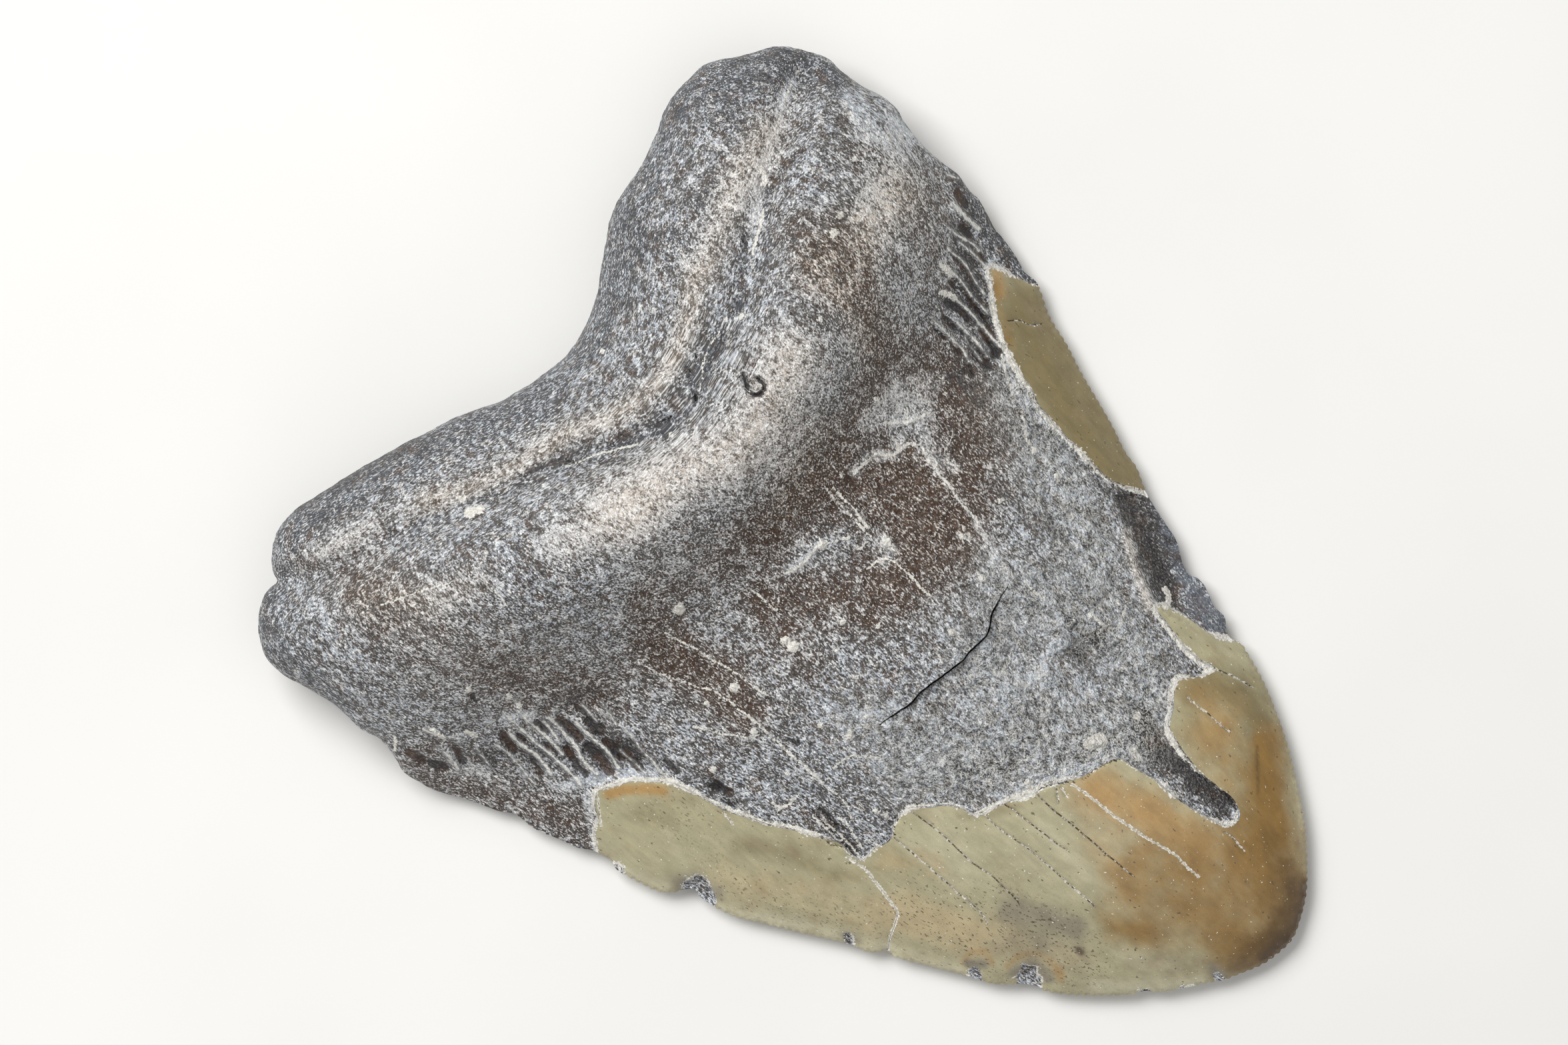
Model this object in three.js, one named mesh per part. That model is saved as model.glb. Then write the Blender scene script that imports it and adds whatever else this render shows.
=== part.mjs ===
// Fossil megalodon tooth, one solid as it grew. It lies on its flat labial face with the lingual
// face up, the crown's tip towards -Y and the root's two lobes towards +Y. Millimetres, +Z up.
//
// The tooth is two skins over one outline: a top and an underside, each a height above the table.
// Both heights follow a smooth distance from the outline, and the crests, the furrow, the enamel
// ledges, the ribs and the pits are added to them. Drawn points are pixels of the reference
// photograph, x to the right and y down, which looks straight down on the tooth.

import * as THREE from 'three';

// Driving dimensions, in millimetres
const SLANT_LENGTH = 126;
const CUTTING_EDGE_HEIGHT = 2.2;
const ROOT_EDGE_HEIGHT = 7;
const SERRATION_PITCH = 0.95;
const SERRATION_DEPTH = 0.22;
const SERRATION_FOOT = 0.7;
const ENAMEL_THICKNESS = 0.9;
const ENAMEL_WALL_RUN = 0.5;
const RIB_HEIGHT = 0.55;
const RIB_WIDTH = 0.6;
const RIB_STRIP_WIDTH = 2.2;
const FORAMEN_RADIUS = 1.2;
const FORAMEN_DEPTH = 1.1;

// Swelling of the upper side: slopes are rise over run, the rest is in millimetres
const CROWN_SLOPE = 0.74;
const SHOULDER_RISE = 7.4;
const SHOULDER_WIDTH = 9;
const LOBE_THINNING = 0.32;
const LOBE_THINNING_FROM = 18;
const LOBE_THINNING_TO = 50;
const CREST_RISE = 3;
const CREST_WIDTH = 11;
const FURROW_DEPTH = 1.7;
const FURROW_WIDTH = 2;
const FURROW_FLANK_DEPTH = 1.6;
const FURROW_FLANK_WIDTH = 6.5;
const ROOT_TO_CROWN_RUN = 15;
const RIM_RUN = 8;
const SCAR_DROP = 0.9;
const SCAR_WIDTH = 9;
const BREAK_DEPTH = 1.1;
const BREAK_WIDTH = 2.6;
const RELIEF_FADE = 2.5;
const GRAIN_HEIGHT = 0.11;

// Rounding of the underside
const CROWN_BELLY_WIDTH = 14;
const ROOT_BELLY_WIDTH = 8;
const LABIAL_HOLLOW = { at: [1040, 660], radius: 13, depth: 1.4 };

// Spacing of the mesh's points
const OUTLINE_SPACING = 1.9;
const BORDER_SPACING = 1.9;
const TOP_SPACING = 1.75;
const BELLY_SPACING = 3.2;
const FLAT_SPACING = 9;
const EDGE_CLEARANCE = 1.05;
const BORDER_CLEARANCE = 0.95;
const DETAIL_SPACING = 1.3;
const DETAIL_CLEARANCE = 0.75;
const FINE_CLEARANCE = 0.4;
const UNEVENNESS = 0.13;

// How the photograph's pixels lie in the tooth's own frame
const PHOTO_LOBE_END = [390, 945];
const PHOTO_TIP = [1942, 1408];
const PHOTO_ORIGIN = [1176, 784];
const PHOTO_TURN = THREE.MathUtils.degToRad(48.6);

// The outline, clockwise as the photograph shows it
const OUTLINE = {
  leftLobe: [
    [545, 1095], [525, 1077], [500, 1055], [460, 1030], [425, 1010], [400, 985], [390, 950],
    [393, 905], [405, 882], [417, 872], [412, 858], [410, 825], [420, 795], [440, 770], [475, 745],
  ],
  notch: [
    [510, 722], [560, 693], [610, 665], [650, 645], [700, 620], [752, 602], [800, 573], [850, 535],
    [873, 500], [893, 455], [903, 400], [910, 360], [918, 325], [935, 290], [965, 245], [985, 200],
    [998, 165],
  ],
  upperLobe: [
    [1015, 140], [1035, 120], [1055, 101], [1080, 91], [1105, 86], [1130, 82], [1158, 72],
    [1185, 72], [1215, 80], [1245, 92], [1255, 103], [1300, 135], [1330, 150], [1345, 165],
    [1360, 190], [1385, 218], [1410, 243], [1440, 266],
  ],
  rightShoulder: [[1455, 285], [1470, 300], [1485, 330], [1500, 352], [1522, 380], [1540, 410]],
  upperEdge: [
    [1556, 425], [1575, 475], [1600, 515], [1622, 558], [1650, 605], [1670, 640], [1690, 680],
    [1705, 700], [1720, 738],
  ],
  brokenEdge: [
    [1745, 780], [1765, 810], [1772, 835], [1783, 860], [1800, 870], [1815, 890], [1822, 910],
    [1838, 925], [1845, 955], [1862, 965],
  ],
  tip: [
    [1875, 985], [1895, 1020], [1912, 1060], [1930, 1110], [1943, 1160], [1953, 1205],
    [1960, 1250], [1962, 1300], [1961, 1340], [1952, 1380], [1940, 1410], [1920, 1430],
    [1895, 1448],
  ],
  lowerEdge: [
    [1862, 1462], [1840, 1470], [1815, 1475], [1780, 1483], [1735, 1490], [1720, 1487],
    [1700, 1493], [1650, 1495], [1600, 1493], [1570, 1488], [1555, 1480], [1515, 1478],
    [1490, 1477], [1450, 1465], [1400, 1452], [1340, 1435], [1333, 1428], [1305, 1430],
    [1275, 1418], [1200, 1400], [1150, 1388], [1100, 1375], [1070, 1360], [1050, 1345],
    [1040, 1335], [1005, 1340], [985, 1337], [950, 1320], [925, 1305], [918, 1293],
  ],
  leftShoulder: [
    [895, 1280], [860, 1270], [825, 1255], [800, 1243], [770, 1222], [740, 1215], [700, 1200],
    [650, 1185], [620, 1170], [600, 1150], [585, 1125], [570, 1108],
  ],
};

// Broken borders of the two pieces of enamel that are left, and points beyond the outline that
// close each one
const UPPER_ENAMEL = {
  border: [
    [1562, 428], [1545, 425], [1520, 412], [1500, 406], [1485, 405], [1490, 430], [1495, 470],
    [1503, 500], [1515, 530], [1530, 560], [1545, 582], [1560, 610], [1580, 635], [1600, 655],
    [1625, 680], [1645, 700], [1665, 718], [1690, 730], [1724, 739],
  ],
  beyond: [[1760, 720], [1600, 420]],
};
const LOWER_ENAMEL = {
  border: [
    [1868, 964], [1831, 960], [1813, 949], [1770, 921], [1744, 908], [1735, 914], [1755, 940],
    [1775, 965], [1800, 988], [1821, 1002], [1798, 1015], [1770, 1018], [1762, 1030], [1757, 1060],
    [1752, 1090], [1765, 1115], [1780, 1135], [1803, 1161], [1828, 1181], [1852, 1204],
    [1858, 1222], [1849, 1236], [1831, 1238], [1813, 1229], [1782, 1209], [1757, 1191],
    [1729, 1170], [1700, 1150], [1675, 1137], [1650, 1145], [1625, 1160], [1600, 1168],
    [1570, 1175], [1540, 1190], [1510, 1200], [1480, 1215], [1462, 1220], [1440, 1210],
    [1400, 1207], [1370, 1210], [1350, 1220], [1342, 1235], [1335, 1258], [1315, 1270],
    [1292, 1290], [1275, 1280], [1255, 1262], [1210, 1250], [1180, 1240], [1150, 1235],
    [1120, 1225], [1090, 1215], [1060, 1200], [1040, 1188], [1015, 1175], [985, 1172], [950, 1172],
    [920, 1178], [898, 1188], [893, 1200], [897, 1225], [893, 1250], [900, 1286],
  ],
  beyond: [[900, 1600], [2100, 1600], [2100, 900]],
};

// Lines of the relief
const CROWN_LINE = [
  [1500, 230], [1440, 266], [1425, 400], [1330, 530], [1230, 650], [1130, 770], [1000, 870],
  [850, 970], [700, 1070], [600, 1150], [540, 1180],
];
const BEHIND_ROOT = [[200, 1180], [200, -100], [1500, -100]];
const CREST = [
  [1235, 190], [1205, 340], [1160, 470], [1110, 590], [1010, 700], [860, 790], [660, 870],
  [510, 930],
];
const FURROW = [
  [1205, 110], [1195, 150], [1170, 230], [1150, 300], [1130, 370], [1118, 450], [1085, 510],
  [1050, 560], [1035, 605], [1000, 645], [940, 672], [855, 690], [800, 715], [720, 755],
  [650, 785], [560, 835], [480, 868], [425, 874],
];
const SCAR_EDGE = [
  [1510, 874], [1487, 907], [1476, 938], [1461, 963], [1441, 989], [1410, 1012], [1380, 1037],
  [1349, 1060], [1318, 1085],
];
const BREAK_RIDGE = [[1722, 739], [1668, 745], [1685, 790], [1705, 850], [1735, 912]];
const BEYOND_BREAK = [[1830, 960], [1800, 760]];
const SCAR_HOLLOWS = [
  { at: [1625, 1000], radius: 5.5, depth: 1.1 },
  { at: [1560, 900], radius: 4.5, depth: 0.5 },
  { at: [1725, 1040], radius: 3, depth: 0.7 },
];
const FORAMEN = [1134, 580];
const CHIPS = [
  { at: [1043, 1334], radius: 2.1, depth: 0.9 },
  { at: [1540, 1473], radius: 1.9, depth: 0.8 },
  { at: [1468, 1458], radius: 1.2, depth: 0.6 },
];

// Ribs of the two strips of bare tooth beside the root, each from its root end to its crown end
const RIGHT_RIBS = [
  [[1437, 290], [1462, 330]], [[1437, 326], [1472, 372]], [[1432, 352], [1478, 405]],
  [[1426, 378], [1478, 437]], [[1422, 402], [1484, 472]], [[1419, 427], [1494, 500]],
  [[1414, 452], [1500, 526]], [[1408, 476], [1478, 540]],
];
const LEFT_RIBS = [
  [[924, 1110], [962, 1153]], [[893, 1103], [940, 1160]], [[864, 1095], [906, 1150]],
  [[836, 1090], [880, 1156]], [[806, 1092], [852, 1160]], [[778, 1098], [824, 1162]],
  [[750, 1106], [798, 1170]], [[720, 1113], [760, 1166]], [[690, 1120], [724, 1166]],
  [[662, 1128], [692, 1164]],
];

const PHOTO_SLANT = Math.hypot(PHOTO_TIP[0] - PHOTO_LOBE_END[0], PHOTO_TIP[1] - PHOTO_LOBE_END[1]);
const MM_PER_PIXEL = SLANT_LENGTH / PHOTO_SLANT;

// Turns a point of the photograph into a point of the tooth's frame
function place([px, py]) {
  const right = (px - PHOTO_ORIGIN[0]) * MM_PER_PIXEL;
  const up = (PHOTO_ORIGIN[1] - py) * MM_PER_PIXEL;
  const point = new THREE.Vector2(right, up);
  return point.rotateAround(new THREE.Vector2(), -PHOTO_TURN);
}

function placeAll(pixels) {
  return pixels.map(place);
}

// A repeatable stream of numbers from 0 to 1
function randomStream(seed) {
  let state = seed;
  return () => {
    state = (state + 0x6d2b79f5) | 0;
    let mixed = Math.imul(state ^ (state >>> 15), 1 | state);
    mixed = (mixed + Math.imul(mixed ^ (mixed >>> 7), 61 | mixed)) ^ mixed;
    return ((mixed ^ (mixed >>> 14)) >>> 0) / 4294967296;
  };
}

const random = randomStream(1492);

// A number between -size and size
function wobble(size) {
  return (random() * 2 - 1) * size;
}

function smoothCurve(points, closed) {
  const knots = points.map((point) => new THREE.Vector3(point.x, point.y, 0));
  const curve = new THREE.CatmullRomCurve3(knots, closed, 'centripetal');
  curve.arcLengthDivisions = knots.length * 30;
  return curve;
}

// Points at an even spacing along a smooth curve through the given ones
function evenPoints(points, spacing) {
  const curve = smoothCurve(points, false);
  const count = Math.max(1, Math.round(curve.getLength() / spacing));
  return curve.getSpacedPoints(count).map((point) => new THREE.Vector2(point.x, point.y));
}

function distanceToSegment(point, start, end) {
  const along = end.clone().sub(start);
  const share = point.clone().sub(start).dot(along) / along.lengthSq();
  const foot = start.clone().addScaledVector(along, THREE.MathUtils.clamp(share, 0, 1));
  return foot.distanceTo(point);
}

function distanceToLine(point, line) {
  let nearest = Infinity;
  for (let i = 1; i < line.length; i += 1) {
    nearest = Math.min(nearest, distanceToSegment(point, line[i - 1], line[i]));
  }
  return nearest;
}

function isInside(point, loop) {
  let inside = false;
  for (let i = 0, j = loop.length - 1; i < loop.length; j = i, i += 1) {
    const a = loop[i];
    const b = loop[j];
    const crosses = a.y > point.y !== b.y > point.y;
    if (crosses && point.x < ((b.x - a.x) * (point.y - a.y)) / (b.y - a.y) + a.x) {
      inside = !inside;
    }
  }
  return inside;
}

// Distance to a line, positive inside the loop that the line is part of
function signedDistance(point, line, loop) {
  const distance = distanceToLine(point, line);
  return isInside(point, loop) ? distance : -distance;
}

function bump(distance, width) {
  return Math.exp(-((distance / width) ** 2));
}

function makeEnamel({ border, beyond }) {
  const line = placeAll(border);
  return { line, loop: [...line, ...placeAll(beyond)] };
}

const enamels = [makeEnamel(UPPER_ENAMEL), makeEnamel(LOWER_ENAMEL)];
const crownLine = placeAll(CROWN_LINE);
const rootLoop = [...crownLine, ...placeAll(BEHIND_ROOT)];
const crest = evenPoints(placeAll(CREST), 4);
const furrow = evenPoints(placeAll(FURROW), 2);
const scarEdge = placeAll(SCAR_EDGE);
const breakRidge = placeAll(BREAK_RIDGE);
const breakLoop = [...breakRidge, ...placeAll(BEYOND_BREAK)];
const foramen = place(FORAMEN);
const rightRibs = RIGHT_RIBS.map(placeAll);
const leftRibs = LEFT_RIBS.map(placeAll);
const ribs = [...rightRibs, ...leftRibs];
const hollows = [...SCAR_HOLLOWS, ...CHIPS].map((hollow) => ({ ...hollow, centre: place(hollow.at) }));
const labialHollow = place(LABIAL_HOLLOW.at);

// How far inside the nearer piece of enamel a point lies: negative on the bare tooth
function depthInEnamel(point) {
  return Math.max(...enamels.map(({ line, loop }) => signedDistance(point, line, loop)));
}

// Stations round the tooth: plain ones on the root and on broken edges, and a serration's crest and
// trough by turns where the edge still has its enamel. Each serration's foot is a point inside the
// edge below its crest.
function walkOutline() {
  const curve = smoothCurve(placeAll(Object.values(OUTLINE).flat()), true);
  const length = curve.getLength();
  const stations = [];
  const serrationFeet = [];
  let outwards = 1;
  let walked = 0;
  while (walked < length - SERRATION_PITCH / 2) {
    const share = walked / length;
    const { x, y } = curve.getPointAt(share);
    const station = new THREE.Vector2(x, y);
    const tangent = curve.getTangentAt(share);
    const outward = new THREE.Vector2(-tangent.y, tangent.x);
    const serrated = depthInEnamel(station) > 0;
    const offset = serrated ? (outwards * SERRATION_DEPTH) / 2 : 0;
    stations.push(station.clone().addScaledVector(outward, offset));
    if (serrated && outwards > 0) {
      serrationFeet.push(station.clone().addScaledVector(outward, -SERRATION_FOOT));
    }
    outwards = -outwards;
    walked += serrated ? SERRATION_PITCH / 2 : OUTLINE_SPACING;
  }
  return { stations, serrationFeet };
}

const { stations: outline, serrationFeet } = walkOutline();

// Smooth distance from the outline: the true distance near it, and half the half-width at the
// middle of a strip, with no crease between
function edgeDistance(point) {
  let sum = 0;
  for (let i = 0; i < outline.length; i += 1) {
    const a = outline[i].clone().sub(point);
    const b = outline[(i + 1) % outline.length].clone().sub(point);
    const angle = Math.atan2(a.cross(b), a.dot(b));
    const height = a.cross(b) / a.distanceTo(b);
    sum += Math.abs(height) < 1e-6 ? 0 : angle / height;
  }
  return Math.PI / sum;
}

function quarterRound(distance, width) {
  const rest = 1 - Math.min(distance / width, 1);
  return Math.sqrt(1 - rest * rest);
}

// 1 on the root, 0 on the crown, changing over the given run to each side of the crown line
function rootShare(point, run) {
  const depth = signedDistance(point, crownLine, rootLoop);
  return THREE.MathUtils.smoothstep(depth, -run, run);
}

function rimHeight(point) {
  return THREE.MathUtils.lerp(CUTTING_EDGE_HEIGHT, ROOT_EDGE_HEIGHT, rootShare(point, RIM_RUN));
}

function enamelRise(point) {
  return ENAMEL_THICKNESS * THREE.MathUtils.clamp(1 + depthInEnamel(point) / ENAMEL_WALL_RUN, 0, 1);
}

function furrowDrop(point) {
  const distance = distanceToLine(point, furrow);
  const flank = FURROW_FLANK_DEPTH * bump(distance, FURROW_FLANK_WIDTH);
  return flank + FURROW_DEPTH * bump(distance, FURROW_WIDTH);
}

function ribRise(point) {
  const distance = Math.min(...ribs.map((rib) => distanceToLine(point, rib)));
  return RIB_HEIGHT * (bump(distance, RIB_WIDTH) - bump(distance, RIB_STRIP_WIDTH));
}

// The step below the long crack, which fades out towards the enamel
function scarDrop(point) {
  const start = scarEdge[0];
  const end = scarEdge[scarEdge.length - 1];
  const side = end.clone().sub(start).cross(point.clone().sub(start));
  const distance = distanceToLine(point, scarEdge);
  return side > 0 ? SCAR_DROP * bump(distance, SCAR_WIDTH) : 0;
}

// The bare face at the right edge, hollowed between its ridge and the outline
function breakDrop(point) {
  if (!isInside(point, breakLoop)) {
    return 0;
  }
  return BREAK_DEPTH * bump(distanceToLine(point, breakRidge) - BREAK_WIDTH, BREAK_WIDTH);
}

function hollowDrop(point) {
  let drop = FORAMEN_DEPTH * bump(point.distanceTo(foramen), FORAMEN_RADIUS);
  for (const { centre, radius, depth } of hollows) {
    drop += depth * bump(point.distanceTo(centre), radius);
  }
  return drop;
}

function topHeight(point) {
  const edge = edgeDistance(point);
  const root = rootShare(point, ROOT_TO_CROWN_RUN);
  const sideways = THREE.MathUtils.smoothstep(Math.abs(point.x), LOBE_THINNING_FROM, LOBE_THINNING_TO);
  const thinning = 1 - LOBE_THINNING * sideways;
  const shoulder = root * thinning * SHOULDER_RISE * quarterRound(edge, SHOULDER_WIDTH);
  const ridge = CREST_RISE * bump(distanceToLine(point, crest), CREST_WIDTH) * thinning;
  const rise = ridge + enamelRise(point) + ribRise(point);
  const drop = furrowDrop(point) + scarDrop(point) + breakDrop(point) + hollowDrop(point);
  const swelling = CROWN_SLOPE * edge * THREE.MathUtils.lerp(1, thinning, root) + shoulder;
  return rimHeight(point) + swelling + (rise - drop) * Math.min(1, edge / RELIEF_FADE);
}

function bellyWidth(point) {
  return THREE.MathUtils.lerp(CROWN_BELLY_WIDTH, ROOT_BELLY_WIDTH, rootShare(point, RIM_RUN));
}

function undersideHeight(point) {
  const distance = distanceToLine(point, [...outline, outline[0]]);
  const belly = rimHeight(point) * (1 - quarterRound(distance, bellyWidth(point)));
  const hollow = bump(point.distanceTo(labialHollow), LABIAL_HOLLOW.radius);
  const cutOff = bump(2 * LABIAL_HOLLOW.radius, LABIAL_HOLLOW.radius);
  return belly + LABIAL_HOLLOW.depth * Math.max(0, hollow - cutOff);
}

// Points of the enamel's broken borders: the top of the little wall and, half a millimetre outside
// it, the wall's foot
function enamelBorderPoints() {
  const points = [];
  for (const { line } of enamels) {
    const stations = evenPoints(line, BORDER_SPACING);
    stations.forEach((station, i) => {
      const before = stations[Math.max(i - 1, 0)];
      const after = stations[Math.min(i + 1, stations.length - 1)];
      const along = after.clone().sub(before).normalize();
      const across = new THREE.Vector2(-along.y, along.x);
      const side = depthInEnamel(station.clone().addScaledVector(across, ENAMEL_WALL_RUN)) > 0 ? -1 : 1;
      points.push(station);
      points.push(station.clone().addScaledVector(across, side * ENAMEL_WALL_RUN * (1 + wobble(UNEVENNESS))));
    });
  }
  return points;
}

// Points along each rib, and along the trough between it and the next
function ribPoints() {
  const points = [];
  for (const strip of [rightRibs, leftRibs]) {
    strip.forEach((rib, i) => {
      points.push(...evenPoints(rib, DETAIL_SPACING));
      const next = strip[i + 1];
      if (next) {
        const trough = rib.map((end, k) => end.clone().lerp(next[k], 0.5));
        points.push(...evenPoints(trough, DETAIL_SPACING));
      }
    });
  }
  return points;
}

function ring(centre, radius, count) {
  const points = [];
  for (let i = 0; i < count; i += 1) {
    const angle = (i / count) * 2 * Math.PI;
    points.push(new THREE.Vector2(radius, 0).rotateAround(new THREE.Vector2(), angle).add(centre));
  }
  return points;
}

function pitPoints() {
  const points = [foramen, ...ring(foramen, FORAMEN_RADIUS * 1.3, 9)];
  for (const { centre, radius } of hollows) {
    if (radius < 2 * TOP_SPACING) {
      points.push(centre, ...ring(centre, radius, 7));
    }
  }
  return points;
}

// Keeps the points that lie well inside the outline and clear of those kept before them
function keepClear(kept, candidates, clearance, edgeClearance) {
  const closedOutline = [...outline, outline[0]];
  for (const point of candidates) {
    const roomy = kept.every((other) => other.distanceTo(point) > clearance);
    if (roomy && isInside(point, outline) && distanceToLine(point, closedOutline) > edgeClearance) {
      kept.push(point);
    }
  }
}

// A slightly uneven triangular grid over the whole tooth
function gridPoints(spacing) {
  const points = [];
  const reach = SLANT_LENGTH * 0.6;
  const rowHeight = (spacing * Math.sqrt(3)) / 2;
  for (let row = 0; row * rowHeight < 2 * reach; row += 1) {
    for (let x = -reach + ((row % 2) * spacing) / 2; x < reach; x += spacing) {
      const y = row * rowHeight - reach;
      const shift = new THREE.Vector2(wobble(UNEVENNESS), wobble(UNEVENNESS));
      points.push(shift.multiplyScalar(spacing).add(new THREE.Vector2(x, y)));
    }
  }
  return points;
}

function topPoints() {
  const kept = [];
  keepClear(kept, serrationFeet, FINE_CLEARANCE, FINE_CLEARANCE);
  keepClear(kept, enamelBorderPoints(), FINE_CLEARANCE, DETAIL_CLEARANCE);
  keepClear(kept, ribPoints(), DETAIL_CLEARANCE, EDGE_CLEARANCE);
  keepClear(kept, pitPoints(), DETAIL_CLEARANCE, DETAIL_CLEARANCE);
  keepClear(kept, evenPoints(scarEdge, DETAIL_SPACING), DETAIL_CLEARANCE, EDGE_CLEARANCE);
  keepClear(kept, evenPoints(breakRidge, DETAIL_SPACING), DETAIL_CLEARANCE, EDGE_CLEARANCE);
  keepClear(kept, furrow, BORDER_CLEARANCE, EDGE_CLEARANCE);
  keepClear(kept, gridPoints(TOP_SPACING), BORDER_CLEARANCE, EDGE_CLEARANCE);
  return kept;
}

function undersidePoints() {
  const kept = [];
  const closedOutline = [...outline, outline[0]];
  const nearEdge = (point) => distanceToLine(point, closedOutline) < bellyWidth(point);
  const inHollow = (point) => point.distanceTo(labialHollow) < 2 * LABIAL_HOLLOW.radius;
  const curved = gridPoints(BELLY_SPACING).filter((point) => nearEdge(point) || inHollow(point));
  keepClear(kept, curved, BORDER_CLEARANCE, EDGE_CLEARANCE);
  keepClear(kept, gridPoints(FLAT_SPACING), BELLY_SPACING, EDGE_CLEARANCE);
  return kept;
}

function circumscribe(points, a, b, c) {
  const origin = points[a];
  const u = points[b].clone().sub(origin);
  const v = points[c].clone().sub(origin);
  const turn = 2 * u.cross(v);
  const x = (v.y * u.lengthSq() - u.y * v.lengthSq()) / turn;
  const y = (u.x * v.lengthSq() - v.x * u.lengthSq()) / turn;
  return { corners: [a, b, c], x: origin.x + x, y: origin.y + y, radiusSq: x * x + y * y };
}

// Delaunay triangulation: each new point clears the triangles whose circles hold it, and joins
// itself to the edge of the hole
function triangulate(inner) {
  const far = SLANT_LENGTH * 40;
  const frame = [[-far, -far], [far, -far], [0, far]].map(([x, y]) => new THREE.Vector2(x, y));
  const points = [...inner, ...frame];
  const count = inner.length;
  let triangles = [circumscribe(points, count, count + 1, count + 2)];
  for (let i = 0; i < count; i += 1) {
    const { x, y } = points[i];
    const rim = new Map();
    const kept = [];
    for (const triangle of triangles) {
      if ((x - triangle.x) ** 2 + (y - triangle.y) ** 2 >= triangle.radiusSq) {
        kept.push(triangle);
        continue;
      }
      triangle.corners.forEach((start, k) => {
        const end = triangle.corners[(k + 1) % 3];
        if (!rim.delete(`${end} ${start}`)) {
          rim.set(`${start} ${end}`, [start, end]);
        }
      });
    }
    for (const [start, end] of rim.values()) {
      kept.push(circumscribe(points, start, end, i));
    }
    triangles = kept;
  }
  const real = triangles.filter(({ corners }) => corners.every((corner) => corner < count));
  return real.map(({ corners }) => corners);
}

// Triangles over the outline's stations and the given inner points, without those that fill the
// hollows of the outline from outside
function coverOutline(inner) {
  const points = [...outline, ...inner];
  const triangles = triangulate(points).filter(([a, b, c]) => {
    const middle = points[a].clone().add(points[b]).add(points[c]).divideScalar(3);
    return isInside(middle, outline);
  });
  return { points, triangles };
}

// The bare root and dentine are rough, the enamel is smooth
function grain(point) {
  return depthInEnamel(point) > -2 * ENAMEL_WALL_RUN ? 0 : wobble(GRAIN_HEIGHT);
}

function makeToothGeometry() {
  const top = coverOutline(topPoints());
  const underside = coverOutline(undersidePoints());
  const rimCount = outline.length;
  const positions = [];
  const faces = [];
  top.points.forEach((point, i) => {
    const height = i < rimCount ? rimHeight(point) : topHeight(point) + grain(point);
    positions.push(point.x, point.y, height);
  });
  underside.points.slice(rimCount).forEach((point) => {
    positions.push(point.x, point.y, undersideHeight(point));
  });
  const shift = top.points.length - rimCount;
  faces.push(...top.triangles.flat());
  for (const [a, b, c] of underside.triangles) {
    faces.push(...[a, c, b].map((corner) => (corner < rimCount ? corner : corner + shift)));
  }
  const geometry = new THREE.BufferGeometry();
  geometry.setAttribute('position', new THREE.Float32BufferAttribute(positions, 3));
  geometry.setIndex(faces);
  return geometry;
}

// Moves the middle of the tooth's plan to the origin
function centreOnOrigin(geometry) {
  geometry.computeBoundingBox();
  const middle = geometry.boundingBox.getCenter(new THREE.Vector3());
  geometry.translate(-middle.x, -middle.y, 0);
  geometry.computeVertexNormals();
  return geometry;
}

const fossilStone = new THREE.MeshStandardMaterial({
  color: '#85807c',
  roughness: 0.62,
  metalness: 0,
});
const tooth = new THREE.Mesh(centreOnOrigin(makeToothGeometry()), fossilStone);
tooth.name = 'tooth';

const model = new THREE.Group();
model.add(tooth);

export default model;
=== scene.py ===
"""A fossil megalodon tooth lying on its labial face, dressed and lit for a view from above.

The surface is one fine mesh over the frame's solid. Its shape is a height above the table over the
tooth's outline, on both sides. Drawn points are pixels of the reference photograph, 2352 by 1568,
x to the right and y down. Lengths inside this file are millimetres until a mesh is made.
"""

import math

import bpy
import numpy as np
from bpy.props import FloatProperty, FloatVectorProperty, PointerProperty
from bpy.types import Operator, Panel, PropertyGroup
from mathutils import Matrix, Vector
from mathutils.geometry import delaunay_2d_cdt


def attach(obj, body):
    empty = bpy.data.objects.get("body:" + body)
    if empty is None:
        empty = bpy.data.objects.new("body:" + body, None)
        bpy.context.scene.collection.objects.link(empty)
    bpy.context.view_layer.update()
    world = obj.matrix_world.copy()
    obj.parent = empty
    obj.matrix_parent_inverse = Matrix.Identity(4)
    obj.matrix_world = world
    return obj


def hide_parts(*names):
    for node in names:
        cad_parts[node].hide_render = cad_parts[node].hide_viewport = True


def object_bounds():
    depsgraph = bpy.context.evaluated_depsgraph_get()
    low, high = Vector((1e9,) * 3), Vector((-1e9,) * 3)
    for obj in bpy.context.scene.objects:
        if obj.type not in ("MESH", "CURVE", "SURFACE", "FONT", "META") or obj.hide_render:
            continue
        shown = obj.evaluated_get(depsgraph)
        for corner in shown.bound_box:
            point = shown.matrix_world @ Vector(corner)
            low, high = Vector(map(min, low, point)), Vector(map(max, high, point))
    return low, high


bl_info = {
    "name": "Fossil Megalodon Tooth",
    "version": (1, 0, 0),
    "blender": (4, 5, 0),
    "location": "3D View > Sidebar > Fossil",
    "description": "Builds a fossil megalodon tooth with worn enamel, and its studio",
    "category": "Add Mesh",
}

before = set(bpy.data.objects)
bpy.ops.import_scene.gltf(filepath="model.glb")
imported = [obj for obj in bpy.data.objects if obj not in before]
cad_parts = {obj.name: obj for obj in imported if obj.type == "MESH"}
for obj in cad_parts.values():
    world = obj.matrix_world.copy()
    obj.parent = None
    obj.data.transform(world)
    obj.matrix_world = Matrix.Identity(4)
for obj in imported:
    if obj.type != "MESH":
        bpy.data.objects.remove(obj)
CAD_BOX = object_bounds()
NODE = "tooth"
BODY = "root"
MM = 0.001

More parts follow.
